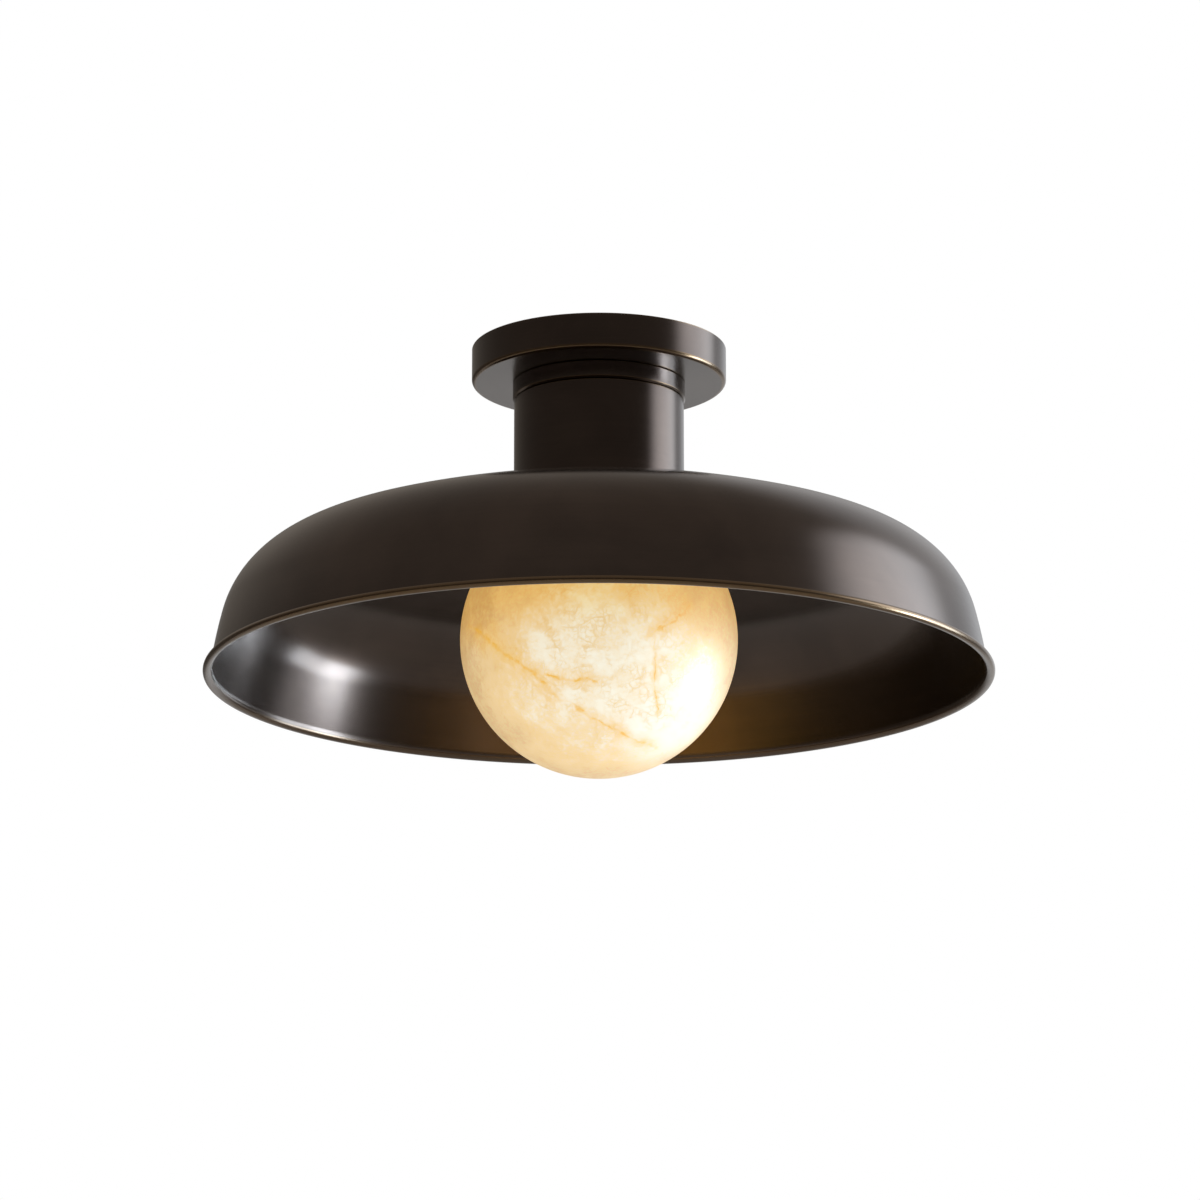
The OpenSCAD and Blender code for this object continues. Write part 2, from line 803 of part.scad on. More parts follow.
crossbar();
ground_screw();
hanger_spacers();
hanger_screws();
hanger_boss();
coupling_ring();
canopy();
neck_head();
neck_tube();
neck_base();
shade();
globe_fitter();
shade_screws();
lamp_bridge();
bridge_screws();
nipple();
nipple_nuts();
ground_tag();
holder_cap();
holder_body();
screw_shell();
centre_contact();
terminal_screws();
black_lead();
white_lead();
ground_lead();
wire_connectors();
globe();
globe_collar();
globe_gasket();
bulb_envelope();
bulb_cap();
bulb_insulator();
bulb_contact();
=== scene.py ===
import json
import math

import bmesh
import bpy
import numpy as np
from mathutils import Matrix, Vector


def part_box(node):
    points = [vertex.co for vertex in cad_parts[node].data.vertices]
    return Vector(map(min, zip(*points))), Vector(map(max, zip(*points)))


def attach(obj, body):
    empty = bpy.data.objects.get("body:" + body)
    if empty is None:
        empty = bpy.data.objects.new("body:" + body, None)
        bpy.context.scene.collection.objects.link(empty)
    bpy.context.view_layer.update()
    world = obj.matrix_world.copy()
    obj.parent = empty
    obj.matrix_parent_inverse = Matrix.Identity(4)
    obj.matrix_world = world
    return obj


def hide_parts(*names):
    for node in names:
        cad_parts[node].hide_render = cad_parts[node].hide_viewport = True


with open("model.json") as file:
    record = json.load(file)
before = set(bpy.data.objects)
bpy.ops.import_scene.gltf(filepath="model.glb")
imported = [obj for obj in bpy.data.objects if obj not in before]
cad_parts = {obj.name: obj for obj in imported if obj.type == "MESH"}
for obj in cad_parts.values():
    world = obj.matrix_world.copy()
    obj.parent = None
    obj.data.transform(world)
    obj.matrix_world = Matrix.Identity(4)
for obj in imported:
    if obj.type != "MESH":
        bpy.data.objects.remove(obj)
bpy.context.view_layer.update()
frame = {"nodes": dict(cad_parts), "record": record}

# Everything is in metres. The light hangs from the middle of its ceiling face, at the origin.


# Camera
# The photograph looks up at the light from a little below its rim, through a long lens. A small
# sideways shift puts the light's axis where the photograph has it.
CAMERA_BACK = 2.5512
CAMERA_DROP = 0.7841
CAMERA_PITCH_UP = math.radians(14.286)
CAMERA_LENS = 153.04
CAMERA_SHIFT = 0.00087
camera = bpy.data.objects.new("camera", bpy.data.cameras.new("camera"))
camera.data.sensor_width = 36
camera.data.lens = CAMERA_LENS
camera.data.shift_x = CAMERA_SHIFT
camera.location = (0, -CAMERA_BACK, -CAMERA_DROP)
camera.rotation_euler = (math.pi / 2 + CAMERA_PITCH_UP, 0, 0)
bpy.context.scene.collection.objects.link(camera)
bpy.context.scene.camera = camera


# Ceiling strap
# A slotted strap pressed from 2.5 mm steel and zinc plated. It is screwed to the ceiling box
# and carries the whole light.
MM = 0.001
BODIES = frame["record"]["behaviour"]["bodies"]
CAD_WELD = 0.002 * MM
FLAT_ANGLE = math.radians(0.4)
SHARP_ANGLE = math.radians(35)
NOISE_LOW, NOISE_HIGH = 0.3, 0.7


def linear(hex_colour):
    """An sRGB hex colour as linear light: c / 12.92 up to 0.04045, else ((c + 0.055) / 1.055)^2.4."""
    channels = [int(hex_colour[i:i + 2], 16) / 255 for i in (1, 3, 5)]
    return [c / 12.92 if c <= 0.04045 else ((c + 0.055) / 1.055) ** 2.4 for c in channels] + [1.0]


def add(tree, kind, inputs=(), **settings):
    """Adds one node, sets its properties, and gives its sockets values or other nodes' outputs. A
    node given for a socket stands for its first output."""
    node = tree.nodes.new(kind)
    for name, value in settings.items():
        setattr(node, name, value)
    for socket, value in dict(inputs).items():
        if isinstance(value, bpy.types.Node):
            value = value.outputs[0]
        if isinstance(value, bpy.types.NodeSocket):
            tree.links.new(value, node.inputs[socket])
        else:
            node.inputs[socket].default_value = value
    return node


def start_material(name, constants):
    """A new Principled material with its constant sockets set, its node tree and its shader."""
    material = bpy.data.materials.new(name)
    material.use_nodes = True
    shader = material.node_tree.nodes["Principled BSDF"]
    for socket, value in constants.items():
        shader.inputs[socket].default_value = value
    return material, material.node_tree, shader


def pattern_place(tree, unit_mm):
    """Object coordinates counted in units of so many millimetres."""
    place = add(tree, "ShaderNodeTexCoord").outputs["Object"]
    scaled = add(tree, "ShaderNodeVectorMath", {0: place, "Scale": 1 / (unit_mm * MM)}, operation="SCALE")
    return scaled.outputs[0]


def mottled(name, dark, light, roughness, cloud_mm, grain_mm, relief_mm, constants):
    """A finish with clouds of two close colours and two glosses, and a fine grain in relief. Most of
    a noise lies between NOISE_LOW and NOISE_HIGH, so these are spread over the two glosses. The grain
    is drawn coarser than a real one, which would not show."""
    material, tree, shader = start_material(name, constants)
    clouds = add(tree, "ShaderNodeTexNoise", {
        "Vector": pattern_place(tree, cloud_mm), "Scale": 1.0, "Detail": 4.0}).outputs["Fac"]
    grain = add(tree, "ShaderNodeTexNoise", {
        "Vector": pattern_place(tree, grain_mm), "Scale": 1.0, "Detail": 2.0}).outputs["Fac"]
    tone = add(tree, "ShaderNodeMix", {0: clouds, 6: linear(dark), 7: linear(light)}, data_type="RGBA")
    gloss = add(tree, "ShaderNodeMapRange", {
        "Value": clouds, "From Min": NOISE_LOW, "From Max": NOISE_HIGH,
        "To Min": roughness[0], "To Max": roughness[1]})
    bump = add(tree, "ShaderNodeBump", {"Height": grain, "Distance": relief_mm * MM})
    tree.links.new(tone.outputs[2], shader.inputs["Base Color"])
    tree.links.new(gloss.outputs[0], shader.inputs["Roughness"])
    tree.links.new(bump.outputs[0], shader.inputs["Normal"])
    return material


def dressed(piece, material, *nodes):
    """Gives a piece its finish. It stands for the nodes it takes over and rides where they ride."""
    piece.data.materials.append(material)
    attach(piece, next(body for body, members in BODIES.items() if nodes[0] in members))
    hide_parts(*nodes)
    return piece


def eased(node, name, width_mm, material):
    """A copy of a CAD node's mesh. Its loose triangles are welded and joined to flats again, and
    each edge that is sharper than SHARP_ANGLE is eased by a small bevel."""
    work = bmesh.new()
    work.from_mesh(frame["nodes"][node].data)
    bmesh.ops.remove_doubles(work, verts=work.verts, dist=CAD_WELD)
    bmesh.ops.dissolve_limit(work, angle_limit=FLAT_ANGLE, verts=work.verts, edges=work.edges)
    mesh = bpy.data.meshes.new(name)
    work.to_mesh(mesh)
    work.free()
    piece = bpy.data.objects.new(name, mesh)
    bpy.context.scene.collection.objects.link(piece)
    bevel = piece.modifiers.new("eased_edges", "BEVEL")
    bevel.width = width_mm * MM
    bevel.segments = 2
    bevel.limit_method = "ANGLE"
    bevel.angle_limit = SHARP_ANGLE
    bevel.harden_normals = True
    mesh.shade_smooth()
    return dressed(piece, material, node)


METAL = {"Metallic": 1.0}
# Zinc plate on pressed steel gives a cool grey with broad clouds of brighter and duller gloss.
zinc = mottled("zinc_plated_pressed_steel", "#8a8c90", "#b2b4b6", (0.28, 0.42), 9, 0.9, 0.02, METAL)
eased("crossbar", "ceiling_strap", 0.3, zinc)


# Hanger screws, spacers and ground screw
# Bought-in steel machine screws with slotted pan heads, zinc plated bright; the ground screw is
# lacquered green.

# Bright zinc plate gives a lighter grey than the strap's, with glints in small spots.
screw_zinc = mottled("bright_zinc_plated_screws", "#9a9b9d", "#c2c3c4", (0.2, 0.32), 3, 0.5, 0.01, METAL)
# Lacquer over the zinc gives an even green with a little of the metal's sheen.
green_lacquer = mottled("green_lacquered_screw", "#27683a", "#3c8a50", (0.3, 0.4), 3, 0.5, 0.01, {
    "Metallic": 0.4})
eased("hanger_spacers", "turned_spacers", 0.15, screw_zinc)
eased("hanger_screws", "hanger_screws_slotted", 0.12, screw_zinc)
eased("ground_screw", "ground_screw_slotted", 0.12, green_lacquer)


# Hanger boss
# A steel disc turned with a deep skirt and blackened. Two screws hang it under the strap, and the
# union ring runs on the 1 mm thread outside.
THREAD_PITCH = 1.0 * MM
THREAD_DEPTH = 0.45 * MM
BOSS_WALL = 4.8 * MM
BOSS_WEB = 2.5 * MM
WIRE_HOLE_R = 16 * MM
THREAD_STEP = THREAD_PITCH / 8
ON_WALL = 0.05 * MM
LATHE_WELD = 0.001 * MM
CORNER_ROOM = 0.45
CUT_SHARE = 0.7


def softened(corners, radii, steps=4, hold=0.35 * MM):
    """A closed outline, counterclockwise in (r, z), with its corners rounded.

    A corner that turns by an angle t is cut back by radius * tan(t / 2) on both sides, and an arc
    joins the cuts. One more point past each cut keeps the flats flat under smooth shading. A corner
    has CORNER_ROOM of its shorter side for both, and CUT_SHARE of that for the cut. The third
    column is 1 on the arcs of outside corners and 0 elsewhere. The bronze shows gilt there, partly as
    worn edges and partly as a painted highlight and reflection.
    """
    corner = np.asarray(corners, float)
    radius = np.broadcast_to(np.asarray(radii, float), len(corner)).copy()
    before = corner - np.roll(corner, 1, 0)
    after = np.roll(corner, -1, 0) - corner
    room = CORNER_ROOM * np.minimum(np.linalg.norm(before, axis=1), np.linalg.norm(after, axis=1))
    before /= np.linalg.norm(before, axis=1)[:, None]
    after /= np.linalg.norm(after, axis=1)[:, None]
    turn = np.arctan2(before[:, 0] * after[:, 1] - before[:, 1] * after[:, 0], (before * after).sum(1))
    cut = np.minimum(radius * np.tan(abs(turn) / 2), room * CUT_SHARE)
    radius = cut / np.tan(abs(turn) / 2)
    support = np.minimum(hold, room - cut)
    inward = np.sign(turn)[:, None] * np.stack([-before[:, 1], before[:, 0]], 1)
    middle = corner - before * cut[:, None] + inward * radius[:, None]
    part = np.linspace(0, 1, steps + 1)[None, :] * turn[:, None]
    arm = -inward[:, None, :]
    swung = np.stack([
        arm[..., 0] * np.cos(part) - arm[..., 1] * np.sin(part),
        arm[..., 0] * np.sin(part) + arm[..., 1] * np.cos(part)], -1)
    arcs = middle[:, None, :] + swung * radius[:, None, None]
    first = corner - before * (cut + support)[:, None]
    last = corner + after * (cut + support)[:, None]
    points = np.concatenate([first[:, None], arcs, last[:, None]], 1)
    rub_and_glint = np.zeros(points.shape[:2] + (1,))
    rub_and_glint[:, 1:-1] = (turn > 0)[:, None, None]
    return np.concatenate([points, rub_and_glint], -1).reshape(-1, 3)


def stretched(outline, longest, wall_r=None, is_open=False):
    """An outline with points added evenly along each side that is longer than a length. With a wall
    radius, only the sides on that radius are divided. An open outline has no closing side."""
    ahead = np.roll(outline, -1, 0)
    counts = np.ceil(np.linalg.norm((ahead - outline)[:, :2], axis=1) / longest).clip(1).astype(int)
    if wall_r is not None:
        ends_off = np.maximum(abs(outline[:, 0] - wall_r), abs(ahead[:, 0] - wall_r))
        counts[ends_off > ON_WALL] = 1
    if is_open:
        counts[-1] = 1
    start = np.repeat(np.arange(len(outline)), counts)
    within = np.arange(counts.sum()) - np.repeat(np.cumsum(counts) - counts, counts)
    return outline[start] + (ahead - outline)[start] * (within / counts[start])[:, None]


def thread_cut(r, z, angle, middle_r, low, high, depth, pitch=THREAD_PITCH):
    """How deep a screw thread is cut at height z and angle a: depth * |2 * frac(z / pitch - a /
    turn) - 1|, only near its own wall and faded out over one pitch at both ends."""
    ramp = abs(2 * np.mod(z / pitch - angle / (2 * math.pi), 1) - 1)
    ends = np.clip((z - low) / pitch, 0, 1) * np.clip((high - z) / pitch, 0, 1)
    return depth * ramp * ends * (abs(r - middle_r) < ON_WALL)


def turned(name, outline, turns=256, shape=None, is_open=False):
    """A surface of revolution: outline point (r, z) at angle a goes to (r cos a, r sin a, z), after
    `shape(r, z, a)` has changed r. An open outline starts and ends on the axis."""
    angle = np.linspace(0, 2 * math.pi, turns, endpoint=False)[None, :]
    r, z, rub_and_glint = (np.repeat(outline[:, k, None], turns, 1) for k in range(3))
    if shape is not None:
        r = shape(r, z, angle)
    points = np.stack([r * np.cos(angle), r * np.sin(angle), z], -1).reshape(-1, 3)
    rows = len(outline)
    here = np.arange(rows * turns).reshape(rows, turns)
    below = np.roll(here, -1, 0)
    if is_open:
        here, below = here[:-1], below[:-1]
    faces = np.stack([here, np.roll(here, -1, 1), np.roll(below, -1, 1), below], -1).reshape(-1, 4)
    mesh = bpy.data.meshes.new(name)
    mesh.from_pydata(points, [], faces)
    rub_and_glint_layer = mesh.attributes.new("rub_and_glint", "FLOAT", "POINT")
    rub_and_glint_layer.data.foreach_set("value", rub_and_glint.reshape(-1))
    work = bmesh.new()
    work.from_mesh(mesh)
    bmesh.ops.remove_doubles(work, verts=work.verts, dist=LATHE_WELD)
    bmesh.ops.recalc_face_normals(work, faces=work.faces)
    work.to_mesh(mesh)
    work.free()
    mesh.shade_smooth()
    piece = bpy.data.objects.new(name, mesh)
    bpy.context.scene.collection.objects.link(piece)
    return piece


# Steel that is turned, blackened and oiled gives a near black with a satin sheen.
blackened = mottled("blackened_turned_steel", "#26221f", "#3d3733", (0.35, 0.5), 12, 1.2, 0.02, METAL)
low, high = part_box("hanger_boss")
boss_outline = softened(
    [(high.x - BOSS_WALL, low.z), (high.x, low.z), (high.x, high.z), (WIRE_HOLE_R, high.z),
     (WIRE_HOLE_R, high.z - BOSS_WEB), (high.x - BOSS_WALL, high.z - BOSS_WEB)], 0.3 * MM)


def boss_thread(r, z, angle, low=low, high=high):
    """The boss's outside with its thread cut inwards."""
    return r - thread_cut(r, z, angle, high.x, low.z, high.z, THREAD_DEPTH)


dressed(turned("threaded_boss", stretched(boss_outline, THREAD_STEP, high.x), turns=288,
               shape=boss_thread), blackened, "hanger_boss")


# Canopy
# A shallow cup spun from 1.5 mm brass, patinated to a dark bronze, brushed round on the lathe and
# lacquered. The union ring presses it against the ceiling.
BRONZE_DARK = "#43362f"
BRONZE_LIGHT = "#54463e"
# Gilt of worn edges, also used as a painted highlight and reflection on the rim's bead.
BRONZE_RUB_AND_GLINT = "#8a6c40"
BRUSH_LINE_MM = 0.9
BRUSH_LENGTH_MM = 130
BRUSH_RELIEF_MM = 0.001
BRUSH_TONES = (0.94, 1.06)
BRUSH_GLOSSES = (0.235, 0.27)
PATINA_CLOUD_MM = 55
PATINA_SPREAD = (0.32, 0.68)


def brushed_bronze():
    """Patinated bronze, brushed round on the lathe and lacquered. It gives a dark brown with soft
    highlights, a clear gloss over them, and gilt edges that are partly worn through and partly a
    painted highlight and reflection. The brush lines are noise that changes fast with (r, z) and
    slowly along x and y. They are drawn coarser than real ones, which would not show."""
    material, tree, shader = start_material("brushed_oil_rubbed_bronze_lacquered", {
        "Metallic": 1.0, "Coat Weight": 0.85, "Coat Roughness": 0.2, "Anisotropic": 0.4,
        "Anisotropic Rotation": 0.25})
    place = add(tree, "ShaderNodeTexCoord").outputs["Object"]
    parts = add(tree, "ShaderNodeSeparateXYZ", {0: place}).outputs
    flat = add(tree, "ShaderNodeCombineXYZ", {"X": parts["X"], "Y": parts["Y"]})
    radius = add(tree, "ShaderNodeVectorMath", {0: flat.outputs[0]}, operation="LENGTH").outputs["Value"]
    across, along = 1 / (BRUSH_LINE_MM * MM), 1 / (BRUSH_LENGTH_MM * MM)
    scaled = [add(tree, "ShaderNodeMath", {0: value, 1: scale}, operation="MULTIPLY").outputs[0]
              for value, scale in ((radius, across), (parts["Z"], across), (parts["X"], along),
                                   (parts["Y"], along))]
    line_place = add(tree, "ShaderNodeCombineXYZ", {"X": scaled[0], "Y": scaled[1], "Z": scaled[2]})
    lines = add(tree, "ShaderNodeTexNoise", {
        "Vector": line_place.outputs[0], "W": scaled[3], "Scale": 1.0, "Detail": 2.0,
        "Roughness": 0.6}, noise_dimensions="4D").outputs["Fac"]
    clouds = add(tree, "ShaderNodeTexNoise", {
        "Vector": pattern_place(tree, PATINA_CLOUD_MM), "Scale": 1.0, "Detail": 5.0,
        "Roughness": 0.55, "Distortion": 0.4}).outputs["Fac"]
    rub_and_glint = add(tree, "ShaderNodeAttribute", attribute_name="rub_and_glint").outputs["Fac"]
    blend = add(tree, "ShaderNodeMapRange", {
        "Value": clouds, "From Min": PATINA_SPREAD[0], "From Max": PATINA_SPREAD[1]})
    tone = add(tree, "ShaderNodeMix", {
        0: blend.outputs[0], 6: linear(BRONZE_DARK), 7: linear(BRONZE_LIGHT)}, data_type="RGBA")
    streak = add(tree, "ShaderNodeMapRange", {
        "Value": lines, "From Min": NOISE_LOW, "From Max": NOISE_HIGH,
        "To Min": BRUSH_TONES[0], "To Max": BRUSH_TONES[1]})
    streaked = add(tree, "ShaderNodeVectorMath", {
        0: tone.outputs[2], "Scale": streak.outputs[0]}, operation="SCALE")
    # Gilt on outside corners and on the rim, partly worn edges and partly a painted highlight and
    # reflection.
    rub_and_glint_amount = add(tree, "ShaderNodeMath", {0: rub_and_glint, 1: lines}, operation="MULTIPLY")
    rub_and_glint_tone = add(tree, "ShaderNodeMix", {
        0: rub_and_glint_amount.outputs[0], 6: streaked.outputs[0], 7: linear(BRONZE_RUB_AND_GLINT)}, data_type="RGBA")
    gloss = add(tree, "ShaderNodeMapRange", {
        "Value": lines, "From Min": NOISE_LOW, "From Max": NOISE_HIGH,
        "To Min": BRUSH_GLOSSES[0], "To Max": BRUSH_GLOSSES[1]})
    bump = add(tree, "ShaderNodeBump", {"Height": lines, "Distance": BRUSH_RELIEF_MM * MM})
    around = add(tree, "ShaderNodeTangent", direction_type="RADIAL", axis="Z")
    tree.links.new(rub_and_glint_tone.outputs[2], shader.inputs["Base Color"])
    tree.links.new(gloss.outputs[0], shader.inputs["Roughness"])
    tree.links.new(bump.outputs[0], shader.inputs["Normal"])
    tree.links.new(around.outputs[0], shader.inputs["Tangent"])
    return material


bronze = brushed_bronze()
CANOPY_SHEET = 1.5 * MM
CANOPY_HOLE_R = 43.75 * MM
CANOPY_ROUNDING = np.array([0.3, 2.0, 0.3, 0.3, 0.5, 0.3]) * MM
PLAIN_STEP = 4 * MM
low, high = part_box("canopy")
canopy_outline = softened(
    [(CANOPY_HOLE_R, low.z), (high.x, low.z), (high.x, high.z), (high.x - CANOPY_SHEET, high.z),
     (high.x - CANOPY_SHEET, low.z + CANOPY_SHEET), (CANOPY_HOLE_R, low.z + CANOPY_SHEET)],
    CANOPY_ROUNDING, steps=8)
dressed(turned("spun_canopy", stretched(canopy_outline, PLAIN_STEP), turns=384), bronze, "canopy")


# Union ring
# A turned bronze ring. Its thread draws up the canopy, and its lip carries the neck. The lower
# edge has a bright narrow chamfer.
RING_BORE_R = 43.4 * MM
RING_LIP_R = 41.8 * MM
RING_LIP = 2 * MM
RING_CHAMFER = 0.8 * MM
low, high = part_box("coupling_ring")
ring_outline = softened(
    [(RING_LIP_R, low.z), (high.x - RING_CHAMFER, low.z), (high.x, low.z + RING_CHAMFER),
     (high.x, high.z - RING_CHAMFER / 2), (high.x - RING_CHAMFER / 2, high.z), (RING_BORE_R, high.z),
     (RING_BORE_R, low.z + RING_LIP), (RING_LIP_R, low.z + RING_LIP)],
    0.12 * MM)


def ring_thread(r, z, angle, low=low, high=high):
    """The ring's bore with its thread cut outwards."""
    return r + thread_cut(r, z, angle, RING_BORE_R, low.z + RING_LIP, high.z, THREAD_DEPTH)


dressed(turned("union_ring", stretched(ring_outline, THREAD_STEP, RING_BORE_R), turns=288,
               shape=ring_thread), bronze, "coupling_ring")


# Neck
# A drawn tube with square ends, finished as the canopy is. The head and base inside it are plain
# turned steel.
NECK_SHEET = 1.5 * MM
low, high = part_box("neck_tube")
neck_outline = softened(
    [(high.x - NECK_SHEET, low.z), (high.x, low.z), (high.x, high.z), (high.x - NECK_SHEET, high.z)],
    0.2 * MM)
dressed(turned("neck_sleeve", stretched(neck_outline, PLAIN_STEP), turns=320), bronze, "neck_tube")
eased("neck_head", "flanged_neck_head", 0.2, blackened)
eased("neck_base", "neck_base_plate", 0.2, blackened)


# Shade
# A dome spun over a chuck from 1.2 mm sheet: a nearly flat crown, a round shoulder and a leaning
# wall, with the rim rolled into a bead outside and flared softly inside.
CROWN_R = 490 * MM
SHOULDER_R = 53 * MM
WALL_BOW_R = 260 * MM
WALL_LEAN = math.radians(8.1)
SHADE_SHEET = 1.2 * MM
SEAT_R = 46 * MM
SEAT_STEP = 0.3 * MM
SEAT_HOLE_R = 22.5 * MM
BEAD_R = 1.95 * MM
BEND_R = 2.8 * MM
# How much gilt, worn edge and painted highlight together, the bead and the bend inside it get.
BEAD_RUB_AND_GLINT = 1.0
BEND_RUB_AND_GLINT = 0.5


def arc(middle, radius, start, end, steps, rub_and_glint=0.0):
    """Points at middle + radius * (cos t, sin t), for t from start to end, with a rub-and-glint
    value, which sets the worn gilt edge and the painted highlight.
    """
    t = np.linspace(start, end, steps + 1)
    return np.stack([middle[0] + radius * np.cos(t), middle[1] + radius * np.sin(t),
                     np.full(steps + 1, rub_and_glint)], 1)


def shade_outline(rim_r, rim_low, top):
    """The shade in section. The crown arc is centred on the axis, the shoulder arc touches it from
    inside, and the wall is bowed a little on a long arc that touches the shoulder and runs down to
    the bead. With a(t) = (cos t, sin t), the shoulder starts at the angle t that puts its centre,
    foot - bow radius * a(lean) + (bow radius - shoulder radius) * a(t), at crown radius - shoulder
    radius from the crown's centre. The inside keeps one sheet thickness from the outside. The gilt,
    which is worn edge and painted highlight and reflection together, is full on the bead, half on the
    bend inside it, and fades out just above the bead."""
    out = np.array([math.cos(WALL_LEAN), math.sin(WALL_LEAN)])
    up = np.array([-out[1], out[0]])
    bead = np.array([rim_r - BEAD_R, rim_low + BEAD_R])
    foot = np.array([rim_r - 2 * BEAD_R, rim_low + 2 * BEAD_R])
    crown = np.array([0, top - SEAT_STEP - math.sqrt(CROWN_R ** 2 - SEAT_R ** 2)])
    bow = foot - WALL_BOW_R * out
    away = np.hypot(*(bow - crown))
    spare = WALL_BOW_R - SHOULDER_R
    share = ((CROWN_R - SHOULDER_R) ** 2 - away ** 2 - spare ** 2) / (2 * spare * away)
    start = math.atan2(*(bow - crown)[::-1]) - math.acos(share)
    shoulder = bow + spare * np.array([math.cos(start), math.sin(start)])
    turn = math.atan2(*(shoulder - crown)[::-1])
    rise = (BEND_R - 2 * BEAD_R - (BEND_R - SHADE_SHEET) * out[1]) / up[1]
    bend = foot + (BEND_R - SHADE_SHEET) * out + rise * up
    inner_r = CROWN_R - SHADE_SHEET
    corner = 0.15 * MM
    lead = WALL_LEAN + rise / WALL_BOW_R
    return np.concatenate([
        arc(bend, BEND_R, math.pi + WALL_LEAN, 1.5 * math.pi, 14, BEND_RUB_AND_GLINT),
        arc(bead, BEAD_R, -math.pi / 2, math.pi / 2, 20, BEAD_RUB_AND_GLINT),
        [[*(foot + [corner, 0]), 0.4], [*foot, 0.2], [*(foot + corner * up), 0.1]],
        arc(bow, WALL_BOW_R, WALL_LEAN + 10 * corner / WALL_BOW_R, start, 12),
        arc(shoulder, SHOULDER_R, start, turn, 32),
        arc(crown, CROWN_R, turn, math.acos(SEAT_R / CROWN_R), 28),
        [[SEAT_R, top, 0.0], [SEAT_R - corner, top, 0.0], [SEAT_HOLE_R, top, 0.0],
         [SEAT_HOLE_R, top - SHADE_SHEET, 0.0], [SEAT_R - corner, top - SHADE_SHEET, 0.0]],
        arc(crown, inner_r, math.acos(SEAT_R / inner_r), turn, 28),
        arc(shoulder, SHOULDER_R - SHADE_SHEET, turn, start, 32),
        arc(bow, WALL_BOW_R - SHADE_SHEET, start, lead, 12)])


low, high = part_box("shade")
dressed(turned("spun_shade", stretched(shade_outline(high.x, low.z, high.z), 2 * PLAIN_STEP),
               turns=448), bronze, "shade")


# Globe fitter and its screws
# A turned steel plate with a threaded skirt, blackened, which carries the globe's collar. Three zinc
# plated screws hold it under the shade.
eased("shade_screws", "shade_screws_slotted", 0.12, screw_zinc)
eased("globe_fitter", "threaded_fitter", 0.2, blackened)


# Lamp bridge
# A strap of zinc plated steel bent like a hat. It stands on the neck's base and holds the
# lampholder by a brass nipple with two nuts.
eased("lamp_bridge", "bent_bridge", 0.2, zinc)
eased("bridge_screws", "bridge_screws_slotted", 0.12, screw_zinc)
# Turned lamp brass gives a warm yellow with sharp, slightly uneven highlights.
brass = mottled("turned_lamp_brass", "#a4813c", "#c9a75c", (0.22, 0.34), 6, 0.6, 0.01, METAL)
eased("nipple_nuts", "brass_nuts", 0.25, brass)
eased("ground_tag", "brass_ground_tag", 0.08, brass)
NIPPLE_BORE_R = 3.6 * MM
NIPPLE_THREAD_DEPTH = 0.4 * MM
low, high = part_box("nipple")
nipple_outline = softened(
    [(NIPPLE_BORE_R, low.z), (high.x, low.z), (high.x, high.z), (NIPPLE_BORE_R, high.z)], 0.2 * MM)


def nipple_thread(r, z, angle, low=low, high=high):
    """The nipple's outside with its thread cut inwards."""
    return r - thread_cut(r, z, angle, high.x, low.z, high.z, NIPPLE_THREAD_DEPTH)


dressed(turned("threaded_nipple", stretched(nipple_outline, THREAD_STEP, high.x), turns=64,
               shape=nipple_thread), brass, "nipple")


# Lampholder
# A glazed porcelain body under a spun brass cap, with a rolled brass screw shell, a sprung centre
# contact and two terminal screws.

# Glazed porcelain gives an off-white under a wet gloss that waves a little.
porcelain = mottled("glazed_electrical_porcelain", "#e9e4d8", "#f3efe6", (0.12, 0.2), 14, 2.0, 0.02, {
    "Coat Weight": 0.6, "Coat Roughness": 0.06})
eased("holder_body", "porcelain_body", 0.5, porcelain)
eased("holder_cap", "brass_holder_cap", 0.1, brass)
eased("centre_contact", "sprung_contact", 0.08, brass)
eased("terminal_screws", "terminal_screws_slotted", 0.1, screw_zinc)
LAMP_PITCH = 3.63 * MM
LAMP_STEP = LAMP_PITCH / 12
SHELL_SHEET = 0.5 * MM
SHELL_FLOOR_R = 8.0 * MM
SHELL_THREAD_DEPTH = 0.25 * MM


def rolled_thread(r, z, angle, wall_r, low, high, depth):
    """The round thread of a lamp cap, rolled in sheet. Where r > wall_r, the wall moves in by depth *
    (1 - cos(2 pi z / pitch - a)) / 2, faded out over half a pitch at both ends."""
    wave = (1 - np.cos(2 * math.pi * z / LAMP_PITCH - angle)) / 2
    ends = np.clip(2 * (z - low) / LAMP_PITCH, 0, 1) * np.clip(2 * (high - z) / LAMP_PITCH, 0, 1)
    return r - depth * wave * ends * (r > wall_r)


low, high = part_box("screw_shell")
shell_outline = softened(
    [(high.x - SHELL_SHEET, low.z), (high.x, low.z), (high.x, high.z), (SHELL_FLOOR_R, high.z),
     (SHELL_FLOOR_R, high.z - SHELL_SHEET), (high.x - SHELL_SHEET, high.z - SHELL_SHEET)], 0.1 * MM)


def shell_thread(r, z, angle, low=low, high=high):
    """The shell's wall with its thread rolled in."""
    return rolled_thread(r, z, angle, high.x - 1.5 * SHELL_SHEET, low.z, high.z - 2 * SHELL_SHEET,
                         SHELL_THREAD_DEPTH)


dressed(turned("rolled_screw_shell", stretched(shell_outline, LAMP_STEP), turns=128,
               shape=shell_thread), brass, "screw_shell")


# Leads and wire connectors
# Three insulated copper leads come up through the nipple, turn over and end in twist-on
# connectors with moulded ribs and two wings, where the house wires join them.
PLASTIC = {"Metallic": 0.0}
